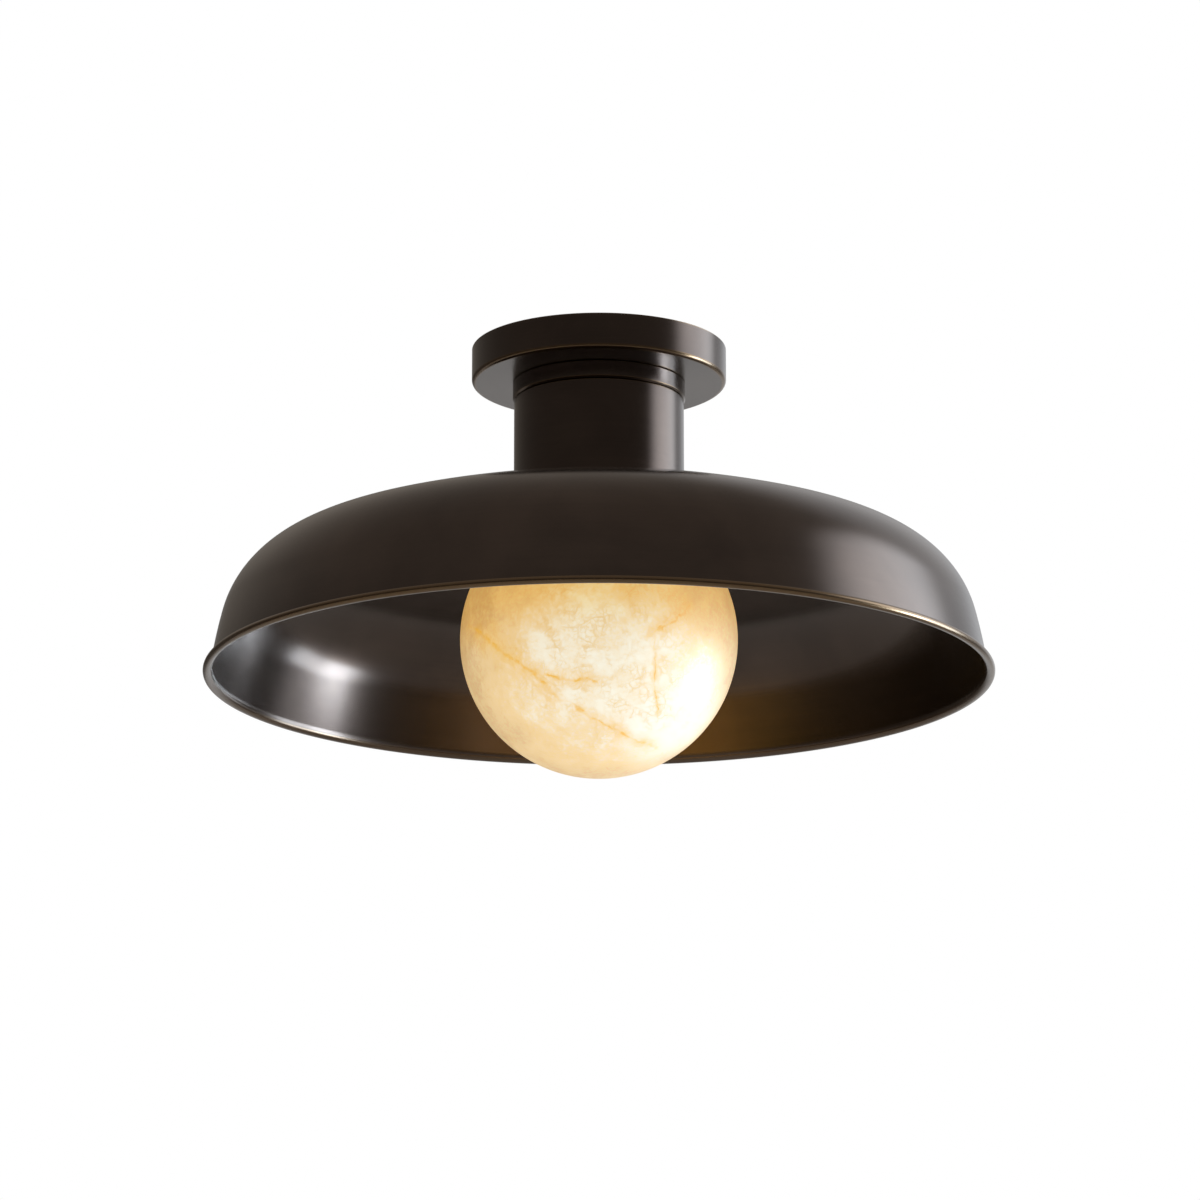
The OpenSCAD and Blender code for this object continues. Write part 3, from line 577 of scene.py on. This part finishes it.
# PVC gives one plain colour with a half-dull, waxy gloss.
black_pvc = mottled("black_pvc_insulation", "#161616", "#262626", (0.38, 0.5), 5, 0.6, 0.02, PLASTIC)
white_pvc = mottled("white_pvc_insulation", "#d9d6cc", "#ece9e0", (0.38, 0.5), 5, 0.6, 0.02, PLASTIC)
green_pvc = mottled("green_pvc_insulation", "#2c6b39", "#3d8a4b", (0.38, 0.5), 5, 0.6, 0.02, PLASTIC)
# Moulded polypropylene gives a warm amber, a little glossier than the PVC.
amber_plastic = mottled("moulded_amber_polypropylene", "#c08420", "#d9a03c", (0.32, 0.42), 6, 0.5, 0.02,
                        PLASTIC)
eased("black_lead", "black_insulated_lead", 0.15, black_pvc)
eased("white_lead", "white_insulated_lead", 0.15, white_pvc)
eased("ground_lead", "green_insulated_lead", 0.15, green_pvc)
TIP_R = 3.5 * MM
TIP_ROUND = 0.2 * TIP_R
MOUTH_LIP = 0.5 * MM
MOUTH_COLLAR = 3.4 * MM
CONNECTOR_R = 5.5 * MM
CONNECTOR_BORE_R = 1.6 * MM
CONNECTOR_FLOOR = 3.4 * MM
CONNECTOR_STEP = 0.6 * MM
WING_HALF = 0.8 * MM
WING_RUN = 2.0 * MM
RIB_START = 0.6 * MM
RIB_COUNT = 16
RIB_HEIGHT = 0.3 * MM
CONNECTOR_PLACES = ((1.3, 16.0, 0.0), (-1.3, -16.0, 0.0), (17.678, 17.678, 135.0))
low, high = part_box("wire_connectors")
connector_outline = np.concatenate([
    [[0, low.z, 0.0], [TIP_R - TIP_ROUND, low.z, 0.0]],
    arc((TIP_R - TIP_ROUND, low.z + TIP_ROUND), TIP_ROUND, -math.pi / 2, 0, 5),
    [[CONNECTOR_R - MOUTH_LIP, high.z - MOUTH_COLLAR, 0.0], [CONNECTOR_R, high.z - MOUTH_COLLAR, 0.0],
     [CONNECTOR_R, high.z, 0.0], [CONNECTOR_BORE_R, high.z, 0.0],
     [CONNECTOR_BORE_R, low.z + CONNECTOR_FLOOR, 0.0], [0, low.z + CONNECTOR_FLOOR, 0.0]]])


def ribs_and_wings(r, z, angle, low=low, high=high):
    """The cone is cut between ribs by h * (1 - |cos(n a / 2)|), which fades in from RIB_START over
    WING_RUN. From halfway there it grows to min(R, w / |sin a|) at the two wings, where that is
    more than its own radius. The mouth's collar stays plain."""
    body = (r > 2 * CONNECTOR_BORE_R) & (z < high.z - MOUTH_COLLAR + LATHE_WELD)
    rise = np.clip((z - low.z - RIB_START) / WING_RUN, 0, 1)
    ribbed = r - RIB_HEIGHT * rise * (1 - abs(np.cos(RIB_COUNT * angle / 2)))
    wing = np.minimum(CONNECTOR_R, WING_HALF / np.maximum(abs(np.sin(angle)), 0.01)) * (rise > 0.5)
    return np.where(body, np.maximum(ribbed, wing), r)


connectors = turned(
    "ribbed_wire_connectors", stretched(connector_outline, CONNECTOR_STEP, is_open=True), turns=192,
    shape=ribs_and_wings, is_open=True)
work = bmesh.new()
for x, y, turn in CONNECTOR_PLACES:
    one = connectors.data.copy()
    one.transform(Matrix.Translation((x * MM, y * MM, 0)) @ Matrix.Rotation(math.radians(turn), 4, "Z"))
    work.from_mesh(one)
    bpy.data.meshes.remove(one)
work.to_mesh(connectors.data)
work.free()
dressed(connectors, amber_plastic, "wire_connectors")


# Globe, collar and washer
# A hollow ball turned from one block of honey alabaster, polished, and lit from inside. A threaded
# collar of blackened steel is cemented in its mouth, with a soft washer between collar and fitter.
GLOBE_WALL = 7 * MM
GLOBE_EASE = 0.4 * MM
EASE_ANGLE = 0.004
MOUTH_R = 37 * MM
STONE_TAN = "#d4ae74"
STONE_CREAM = "#f7d69a"
STONE_WHITE = "#fffbe8"
# Painted light: the white the stone is painted low on the right.
PAINTED_LIGHT_WHITE = "#fffdf6"
STONE_SKIN = "#aca8a6"
SKIN_SHARE = 0.65
VEIN_AMBER = "#f6bb2a"
CRACKLE_GOLD = "#eabf6c"
# The glow's colours: amber away from the front, painted white light on the front, and painted golden
# shade at the top.
GLOW_AMBER = "#ffd266"
PAINTED_SHADE_TOP = "#fbe7b4"
GLOW_WHITE = "#ffffff"
WARP_PULL_MM = 9.0
# Each noise has a size in millimetres, its detail, a shift of its own so that no two agree, and its
# distortion.
STONE_NOISES = {
    "grain": (2.2, 4, 3.0, 0.6),
    "cloud": (18, 4, 11.0, 0.5),
    "warp": (12, 5, 7.0, 0.0),
    "crackle": (12, 2, 41.0, 0.0)}
# Each zone is a soft ball of painted light: its middle, the distances from there in millimetres
# at which it starts and is full, and how full it gets. They paint the stone brighter low on the
# front, white on the front, and whiter low on the right.
PAINTED_LIGHT_ZONES = {
    "bright": ((4.0, -61.0, -31.0), 92.0, 18.0, 1.0),
    "front": ((4.0, -61.0, -31.0), 135.0, 95.0, 1.0),
    "painted_light_right": ((40.0, -31.0, -50.0), 42.0, 12.0, 0.7)}
GRAIN_SHARE, CLOUD_SHARE = 0.45, 0.55
CLOUD_SPREAD = (0.28, 0.72)
CLOUD_LIFT = 0.4
ZONE_LIFT = 0.56
# From tan, the tone goes to each colour in turn as the light goes from start to end. That
# light is the stone's clouds plus painted light low on the front.
TONES = ((0.0, 0.5, STONE_CREAM), (0.42, 0.92, STONE_WHITE))
TOP_FADE_MM = (-20.0, 12.0)
# Crackle has a cell size in millimetres, the width of its lines in cells, and a strength.
CRACKLES = ((9, 0.07, 0.6), (3, 0.14, 0.45))
CRACKLE_SPREAD = (0.4, 0.62)
CRACKLE_LEAST = 0.3
VEIN_PATCH_MM = 6
VEIN_SPREAD = (0.35, 0.65)
VEIN_LEAST = 0.45
VEIN_CORE = 0.6
HALO_WIDTHS = 4
HALO_STRENGTH = 0.5
# A vein has a crack plane n . p = d, a half width, and the middle and reach of the ball it shows in.
VEINS = (
    ((0.639, -0.115, 0.760), -38.7, 2.5, (-42, -40, -22), 42),
    ((0.572, -0.457, 0.681), -15.1, 1.7, (8, -38, -57), 34),
    ((-0.015, -0.849, 0.528), 48.4, 1.3, (36, -61, -4), 20),
    ((0.999, 0.026, 0.045), 25.6, 0.7, (28, -56, -32), 28),
    ((0.136, -0.515, 0.846), 0.0, 1.6, (-14, -60, -34), 19),
)


def globe_outline(radius, middle, top):
    """The ball in section: the outer circle from its lowest point to the ground mouth, down the
    mouth's bore, and the inner circle back to the axis."""
    inner = radius - GLOBE_WALL
    cut_r = math.sqrt(radius ** 2 - (top - middle) ** 2)
    outer_end = math.atan2(top - middle, cut_r)
    inner_end = math.acos(MOUTH_R / inner)
    return np.concatenate([
        arc((0, middle), radius, -math.pi / 2, outer_end - EASE_ANGLE, 110),
        [[cut_r - GLOBE_EASE, top, 0.0], [MOUTH_R + GLOBE_EASE, top, 0.0],
         [MOUTH_R, top - GLOBE_EASE, 0.0]],
        arc((0, middle), inner, inner_end, -math.pi / 2, 90)])


def crackle(tree, bent, patch_noise, bright):
    """How far the stone is crackled. It is strongest along the edges of warped cells, in patches,
    and most where the stone is painted bright."""
    seams = 0.0
    for size_mm, width, strength in CRACKLES:
        edge = add(tree, "ShaderNodeTexVoronoi", {"Vector": bent, "Scale": 1 / size_mm},
                   feature="DISTANCE_TO_EDGE")
        line = add(tree, "ShaderNodeMapRange", {
            "Value": edge.outputs["Distance"], "From Min": 0.0, "From Max": width,
            "To Min": strength, "To Max": 0.0}, interpolation_type="SMOOTHSTEP")
        seams = add(tree, "ShaderNodeMath", {0: line, 1: seams}, operation="MAXIMUM")
    patches = add(tree, "ShaderNodeMapRange", {
        "Value": patch_noise, "From Min": CRACKLE_SPREAD[0], "From Max": CRACKLE_SPREAD[1]},
        interpolation_type="SMOOTHSTEP")
    lit = add(tree, "ShaderNodeMath", {0: bright, 1: 1 - CRACKLE_LEAST, 2: CRACKLE_LEAST},
              operation="MULTIPLY_ADD")
    shown = add(tree, "ShaderNodeMath", {0: lit, 1: patches}, operation="MULTIPLY")
    return add(tree, "ShaderNodeMath", {0: seams, 1: shown}, operation="MULTIPLY")


def veining(tree, in_mm, bent):
    """How far the stone is vein. A vein lies where the warped stone is near a crack plane,
    |n . p - d| < width, with a wide weak halo, in patches and only inside the crack's ball."""
    veins = 0.0
    for normal, offset, width, spot, reach in VEINS:
        level = add(tree, "ShaderNodeVectorMath", {0: bent, 1: normal}, operation="DOT_PRODUCT")
        off_plane = add(tree, "ShaderNodeMath", {0: level.outputs["Value"], 1: offset},
                        operation="SUBTRACT")
        gap = add(tree, "ShaderNodeMath", {0: off_plane}, operation="ABSOLUTE")
        moved = add(tree, "ShaderNodeVectorMath", {0: in_mm, 1: (offset, offset, offset)})
        noise = add(tree, "ShaderNodeTexNoise", {
            "Vector": moved, "Scale": 1 / VEIN_PATCH_MM, "Detail": 3, "Roughness": 0.6})
        patches = add(tree, "ShaderNodeMapRange", {
            "Value": noise.outputs["Fac"], "From Min": VEIN_SPREAD[0], "From Max": VEIN_SPREAD[1],
            "To Min": VEIN_LEAST}, interpolation_type="SMOOTHSTEP")
        away = add(tree, "ShaderNodeVectorMath", {0: in_mm, 1: spot}, operation="DISTANCE")
        near = add(tree, "ShaderNodeMapRange", {
            "Value": away.outputs["Value"], "From Min": reach, "From Max": reach * VEIN_CORE},
            interpolation_type="SMOOTHSTEP")
        shown = add(tree, "ShaderNodeMath", {0: near, 1: patches}, operation="MULTIPLY")
        for half, strength in ((width, 1.0), (width * HALO_WIDTHS, HALO_STRENGTH)):
            line = add(tree, "ShaderNodeMapRange", {
                "Value": gap, "From Min": 0.0, "From Max": half, "To Min": strength, "To Max": 0.0},
                interpolation_type="SMOOTHSTEP")
            part = add(tree, "ShaderNodeMath", {0: line, 1: shown}, operation="MULTIPLY")
            veins = add(tree, "ShaderNodeMath", {0: part, 1: veins}, operation="MAXIMUM")
    return veins


def alabaster(middle):
    """Polished honey alabaster, lit from inside. It gives a cream glow with soft tan clouds, fine
    crackle and a few amber veins, under a broad gloss. The tone goes from tan over cream to white,
    the brighter the clouds and the nearer a spot low on the front, which is painted light, and it is
    painted whiter low on the right. The glow is painted golden shade at the top, painted white light
    on the front, and amber away from the front. Crackle and veins are drawn coarser than the finest
    real ones, which would not show."""
    material, tree, shader = start_material("polished_honey_alabaster", {
        "Roughness": 0.5, "Coat Weight": 0.4, "Coat Roughness": 0.34, "Emission Strength": 0.82})
    place = add(tree, "ShaderNodeTexCoord").outputs["Object"]
    centred = add(tree, "ShaderNodeVectorMath", {0: place, 1: (0, 0, -middle)})
    in_mm = add(tree, "ShaderNodeVectorMath", {0: centred, "Scale": 1 / MM}, operation="SCALE")
    noise = {}
    for use, (size_mm, detail, shift, distortion) in STONE_NOISES.items():
        moved = add(tree, "ShaderNodeVectorMath", {0: in_mm, 1: (shift, shift, shift)})
        noise[use] = add(tree, "ShaderNodeTexNoise", {
            "Vector": moved, "Scale": 1 / size_mm, "Detail": detail, "Roughness": 0.6,
            "Distortion": distortion}).outputs
    zone = {}
    for use, (spot, far, close, most) in PAINTED_LIGHT_ZONES.items():
        away = add(tree, "ShaderNodeVectorMath", {0: in_mm, 1: spot}, operation="DISTANCE")
        zone[use] = add(tree, "ShaderNodeMapRange", {
            "Value": away.outputs["Value"], "From Min": far, "From Max": close, "To Max": most},
            interpolation_type="SMOOTHSTEP")
    warp = add(tree, "ShaderNodeVectorMath", {0: noise["warp"]["Color"], 1: (0.5, 0.5, 0.5)},
               operation="SUBTRACT")
    pull = add(tree, "ShaderNodeVectorMath", {0: warp, "Scale": WARP_PULL_MM}, operation="SCALE")
    bent = add(tree, "ShaderNodeVectorMath", {0: pull, 1: in_mm})
    broad = add(tree, "ShaderNodeMath", {0: noise["cloud"]["Fac"], 1: CLOUD_SHARE},
                operation="MULTIPLY")
    clouds = add(tree, "ShaderNodeMath", {0: noise["grain"]["Fac"], 1: GRAIN_SHARE, 2: broad},
                 operation="MULTIPLY_ADD")
    cloudy = add(tree, "ShaderNodeMapRange", {
        "Value": clouds, "From Min": CLOUD_SPREAD[0], "From Max": CLOUD_SPREAD[1],
        "To Max": CLOUD_LIFT},
        interpolation_type="SMOOTHSTEP")
    # Painted light low on the front and the stone's own clouds together set the tone.
    lit = add(tree, "ShaderNodeMath", {0: zone["bright"], 1: ZONE_LIFT, 2: cloudy},
              operation="MULTIPLY_ADD")
    tone = linear(STONE_TAN)
    for start, end, colour in TONES:
        amount = add(tree, "ShaderNodeMapRange", {"Value": lit, "From Min": start, "From Max": end},
                     interpolation_type="SMOOTHSTEP")
        tone = add(tree, "ShaderNodeMix", {0: amount, 6: tone, 7: linear(colour)},
                   data_type="RGBA").outputs[2]
    # Painted light whitens the stone low on the right. The crackle, shown most where the stone is painted
    # bright, and the veins are the stone's own.
    for amount, colour in (
            (zone["painted_light_right"], PAINTED_LIGHT_WHITE),
            (crackle(tree, bent, noise["crackle"]["Fac"], zone["bright"]), CRACKLE_GOLD),
            (veining(tree, in_mm, bent), VEIN_AMBER)):
        tone = add(tree, "ShaderNodeMix", {0: amount, 6: tone, 7: linear(colour)},
                   data_type="RGBA").outputs[2]
    skin = add(tree, "ShaderNodeMix", {0: SKIN_SHARE, 6: tone, 7: linear(STONE_SKIN)},
               data_type="RGBA").outputs[2]
    # Painted shade and light in the glow: golden towards the top, white on the front, and amber away from
    # the front.
    height = add(tree, "ShaderNodeSeparateXYZ", {0: in_mm}).outputs["Z"]
    top = add(tree, "ShaderNodeMapRange", {
        "Value": height, "From Min": TOP_FADE_MM[0], "From Max": TOP_FADE_MM[1]},
        interpolation_type="SMOOTHSTEP")
    tint = add(tree, "ShaderNodeMix", {0: top, 6: linear(GLOW_WHITE), 7: linear(PAINTED_SHADE_TOP)},
               data_type="RGBA").outputs[2]
    tint = add(tree, "ShaderNodeMix", {0: zone["front"], 6: linear(GLOW_AMBER), 7: tint},
               data_type="RGBA").outputs[2]
    glow = add(tree, "ShaderNodeMix", {0: 1.0, 6: tone, 7: tint}, data_type="RGBA",
               blend_type="MULTIPLY").outputs[2]
    tree.links.new(skin, shader.inputs["Base Color"])
    tree.links.new(glow, shader.inputs["Emission Color"])
    return material


low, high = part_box("globe")
globe_r = high.x
globe_middle = low.z + globe_r
stone = alabaster(globe_middle)
dressed(turned("alabaster_ball", globe_outline(globe_r, globe_middle, high.z), turns=384, is_open=True),
        stone, "globe")
eased("globe_collar", "threaded_collar", 0.2, blackened)
# Silicone gives a milky, nearly dull grey.
silicone = mottled("soft_silicone_washer", "#cdc8bf", "#dedad2", (0.5, 0.62), 6, 0.6, 0.02, {})
eased("globe_gasket", "silicone_gasket", 0.25, silicone)


# Bulb
# A frosted glass lamp with a cap rolled from aluminium sheet, a black glass insulator and a
# soldered contact.
GLASS_WALL = 0.8 * MM
GLASS_NECK = 5.0 * MM
GLASS_NECK_R = 12.55 * MM
GLASS_FILLET = 10.0 * MM
GLASS_FILLET_UP = 0.6 * GLASS_NECK
FILLET_POINTS = 17
GLASS_STEP = 3 * MM
# Frosted glass with light behind it gives an even warm white without a clear highlight.
frosted = mottled("frosted_bulb_glass", "#f4efe4", "#fffaf0", (0.45, 0.55), 10, 0.5, 0.01, {
    "Emission Color": linear("#ffe6bd"), "Emission Strength": 0.75})
low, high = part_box("bulb_envelope")


def glass_outline(inset):
    """Half the bulb in section, from its lowest point up: a circle, the cone that touches it and the
    neck's corner, and the neck, with the corner drawn out in a Bezier curve."""
    ball_r = high.x - inset
    middle = low.z + high.x
    corner = np.array([GLASS_NECK_R - inset, high.z - GLASS_NECK])
    rise = corner[1] - middle
    angle = math.atan2(rise, corner[0]) - math.acos(ball_r / math.hypot(corner[0], rise))
    touch = np.array([ball_r * math.cos(angle), middle + ball_r * math.sin(angle)])
    start = corner + (touch - corner) * GLASS_FILLET / np.hypot(*(touch - corner))
    end = corner + [0, GLASS_FILLET_UP]
    t = np.linspace(0, 1, FILLET_POINTS)[:, None]
    fillet = (1 - t) ** 2 * start + 2 * t * (1 - t) * corner + t ** 2 * end
    return np.concatenate([
        arc((0, middle), ball_r, -math.pi / 2, angle, 60), np.c_[fillet, np.zeros(FILLET_POINTS)],
        [[corner[0], high.z, 0.0]]])


dressed(turned("blown_bulb_glass", stretched(np.concatenate([
    glass_outline(0.0), glass_outline(GLASS_WALL)[::-1]]), GLASS_STEP, is_open=True), turns=192,
    is_open=True), frosted, "bulb_envelope")

# Rolled aluminium gives a pale grey with a soft, uneven gloss.
aluminium = mottled("rolled_aluminium_lamp_cap", "#a8a9aa", "#c8c9ca", (0.25, 0.38), 5, 0.5, 0.01, METAL)
CAP_SHEET = 0.4 * MM
CAP_CROWN = 3.0 * MM
CAP_CROWN_R = 7.0 * MM
CAP_THREAD_DEPTH = 0.45 * MM
low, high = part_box("bulb_cap")
cap_outline = softened(
    [(high.x - CAP_SHEET, low.z), (high.x, low.z), (high.x, high.z - CAP_CROWN), (CAP_CROWN_R, high.z),
     (CAP_CROWN_R - CAP_SHEET, high.z), (high.x - CAP_SHEET, high.z - CAP_CROWN)], 0.1 * MM)


def cap_thread(r, z, angle, low=low, high=high):
    """The cap's wall with its thread rolled in, clear of the glass inside its foot."""
    return rolled_thread(r, z, angle, high.x - 2 * CAP_SHEET, low.z + GLASS_NECK, high.z - CAP_CROWN,
                         CAP_THREAD_DEPTH)


dressed(turned("rolled_bulb_cap", stretched(cap_outline, LAMP_STEP), turns=128, shape=cap_thread),
        aluminium, "bulb_cap")
# Solder gives a dull grey bead with a pitted skin.
solder = mottled("tin_solder", "#8f9093", "#b9babd", (0.3, 0.45), 2, 0.4, 0.02, METAL)
eased("bulb_contact", "solder_bead", 0.08, solder)
# Black glass gives a near black with a sharp gloss.
black_glass = mottled("black_insulating_glass", "#15151a", "#23232b", (0.15, 0.25), 4, 0.5, 0.01, {})
eased("bulb_insulator", "black_glass_insulator", 0.2, black_glass)


# Stage and light
# A pale floor far below, and a surround that is white to the camera. The metal mirrors a dim room
# with a pale wall and two bright patches, and two soft boxes at the right. A warm lamp in the globe
# stands for the bulb's light.
FLOOR_DROP = 3.3
FLOOR_R = 8.0
FLOOR_SIDES = 64
FLOOR_SELF_WHITE = 0.85
SHADE_MIDDLE = (0, 0, -0.13)
BOX_DISTANCE = 2.0
BOX_COLOUR = (0.76, 0.89, 1.0)
SOFT_BOXES = (
    ("bright_soft_box", math.radians(96), math.radians(-10), (0.42, 0.95), 18.0),
    ("dim_soft_box", math.radians(110), math.radians(-9), (0.62, 0.9), 7.0))
LAMP_POWER = 1.0
LAMP_COLOUR = (1.0, 0.64, 0.05)
LAMP_SIZE = 0.055
LAMP_LEFT = 0.015
# A lobe is a soft round part of the surround: 0 to 1 as the cosine to its middle goes start to end.
LOBES = {
    "wall": ((0.07, 0.998, 0.0), 0.77, 0.985),
    "bright": ((0.925, 0.17, 0.34), 0.87, 0.993),
    "dim": ((0.55, 0.70, 0.46), 0.78, 0.97)}
PATCH_LIGHT = {"bright": (2.6, 2.8, 3.0), "dim": (0.32, 0.34, 0.37)}
WALL_FADES = (("Z", 0.5, 0.05), ("X", -0.45, 0.1))
WALL_LIGHT = (0.52, 0.52, 0.52, 1)
ROOM_LEVEL = (0.07, 0.06, 0.05, 1)
ROOM_STEEP = (0.25, 0.22, 0.19, 1)

scene = bpy.context.scene
scene.view_settings.view_transform = "Standard"

# A soft box is a rectangular lamp that faces the shade, at an azimuth counted from the camera's side
# towards +X and an elevation. Its power is radiance * pi * area.
for name, azimuth, elevation, size, radiance in SOFT_BOXES:
    lamp = bpy.data.lights.new(name, "AREA")
    lamp.shape = "RECTANGLE"
    lamp.size, lamp.size_y = size
    lamp.energy = radiance * math.pi * size[0] * size[1]
    lamp.color = BOX_COLOUR
    holder = bpy.data.objects.new(name, lamp)
    level = math.cos(elevation)
    away = np.array([math.sin(azimuth) * level, -math.cos(azimuth) * level, math.sin(elevation)])
    holder.location = np.array(SHADE_MIDDLE) + away * BOX_DISTANCE
    holder.rotation_euler = (math.pi / 2 - elevation, 0, azimuth)
    scene.collection.objects.link(holder)

lamp = bpy.data.lights.new("lamp_glow", "POINT")
lamp.energy = LAMP_POWER
lamp.color = LAMP_COLOUR
lamp.shadow_soft_size = LAMP_SIZE
holder = bpy.data.objects.new("lamp_glow", lamp)
holder.location = (-LAMP_LEFT, 0, globe_middle)
scene.collection.objects.link(holder)
for name in ("alabaster_ball", "blown_bulb_glass"):
    bpy.data.objects[name].visible_shadow = False

world = bpy.data.worlds.new("white_surround")
world.use_nodes = True
scene.world = world
tree = world.node_tree
tree.nodes.clear()
direction = add(tree, "ShaderNodeTexCoord").outputs["Generated"]
parts = add(tree, "ShaderNodeSeparateXYZ", {0: direction}).outputs
lobes = {}
for use, (towards, start, end) in LOBES.items():
    cosine = add(tree, "ShaderNodeVectorMath", {0: direction, 1: towards}, operation="DOT_PRODUCT")
    lobes[use] = add(tree, "ShaderNodeMapRange", {
        "Value": cosine.outputs["Value"], "From Min": start, "From Max": end},
        interpolation_type="SMOOTHSTEP")
wall = lobes["wall"]
for axis, start, end in WALL_FADES:
    part = add(tree, "ShaderNodeMapRange", {
        "Value": parts[axis], "From Min": start, "From Max": end}, interpolation_type="SMOOTHSTEP")
    wall = add(tree, "ShaderNodeMath", {0: wall, 1: part}, operation="MULTIPLY")
slope = add(tree, "ShaderNodeMath", {0: parts["Z"]}, operation="ABSOLUTE")
steep = add(tree, "ShaderNodeMapRange", {
    "Value": slope, "From Min": 0.1, "From Max": 0.6}, interpolation_type="SMOOTHSTEP")
room = add(tree, "ShaderNodeMix", {0: steep, 6: ROOM_LEVEL, 7: ROOM_STEEP}, data_type="RGBA").outputs[2]
studio = add(tree, "ShaderNodeMix", {0: wall, 6: room, 7: WALL_LIGHT}, data_type="RGBA").outputs[2]
for use, radiance in PATCH_LIGHT.items():
    patch = add(tree, "ShaderNodeVectorMath", {0: radiance, "Scale": lobes[use]}, operation="SCALE")
    studio = add(tree, "ShaderNodeVectorMath", {0: patch, 1: studio})
seen = add(tree, "ShaderNodeLightPath").outputs["Is Camera Ray"]
shown = add(tree, "ShaderNodeMix", {0: seen, 6: studio, 7: (1, 1, 1, 1)}, data_type="RGBA").outputs[2]
background = add(tree, "ShaderNodeBackground", {"Color": shown, "Strength": 1.0})
add(tree, "ShaderNodeOutputWorld", {"Surface": background})

floor_mesh = bpy.data.meshes.new("studio_floor")
floor_angle = np.linspace(0, 2 * math.pi, FLOOR_SIDES, endpoint=False)
floor_mesh.from_pydata(
    np.stack([FLOOR_R * np.cos(floor_angle), FLOOR_R * np.sin(floor_angle),
              np.full(FLOOR_SIDES, -FLOOR_DROP)], 1), [], [tuple(range(FLOOR_SIDES))])
floor = bpy.data.objects.new("studio_floor", floor_mesh)
scene.collection.objects.link(floor)
# Matt white paper. To the camera most of its light is its own, so that it looks nearly as white as
# the surround.
paper, tree, shader = start_material("white_studio_paper", {
    "Base Color": linear("#f2f0ec"), "Roughness": 0.9})
own_white = add(tree, "ShaderNodeEmission", {"Color": (1, 1, 1, 1), "Strength": 1.0})
seen = add(tree, "ShaderNodeLightPath").outputs["Is Camera Ray"]
share = add(tree, "ShaderNodeMath", {0: seen, 1: FLOOR_SELF_WHITE}, operation="MULTIPLY")
mixed = add(tree, "ShaderNodeMixShader", {0: share, 1: shader.outputs[0], 2: own_white})
tree.links.new(mixed.outputs[0], tree.nodes["Material Output"].inputs["Surface"])
floor_mesh.materials.append(paper)
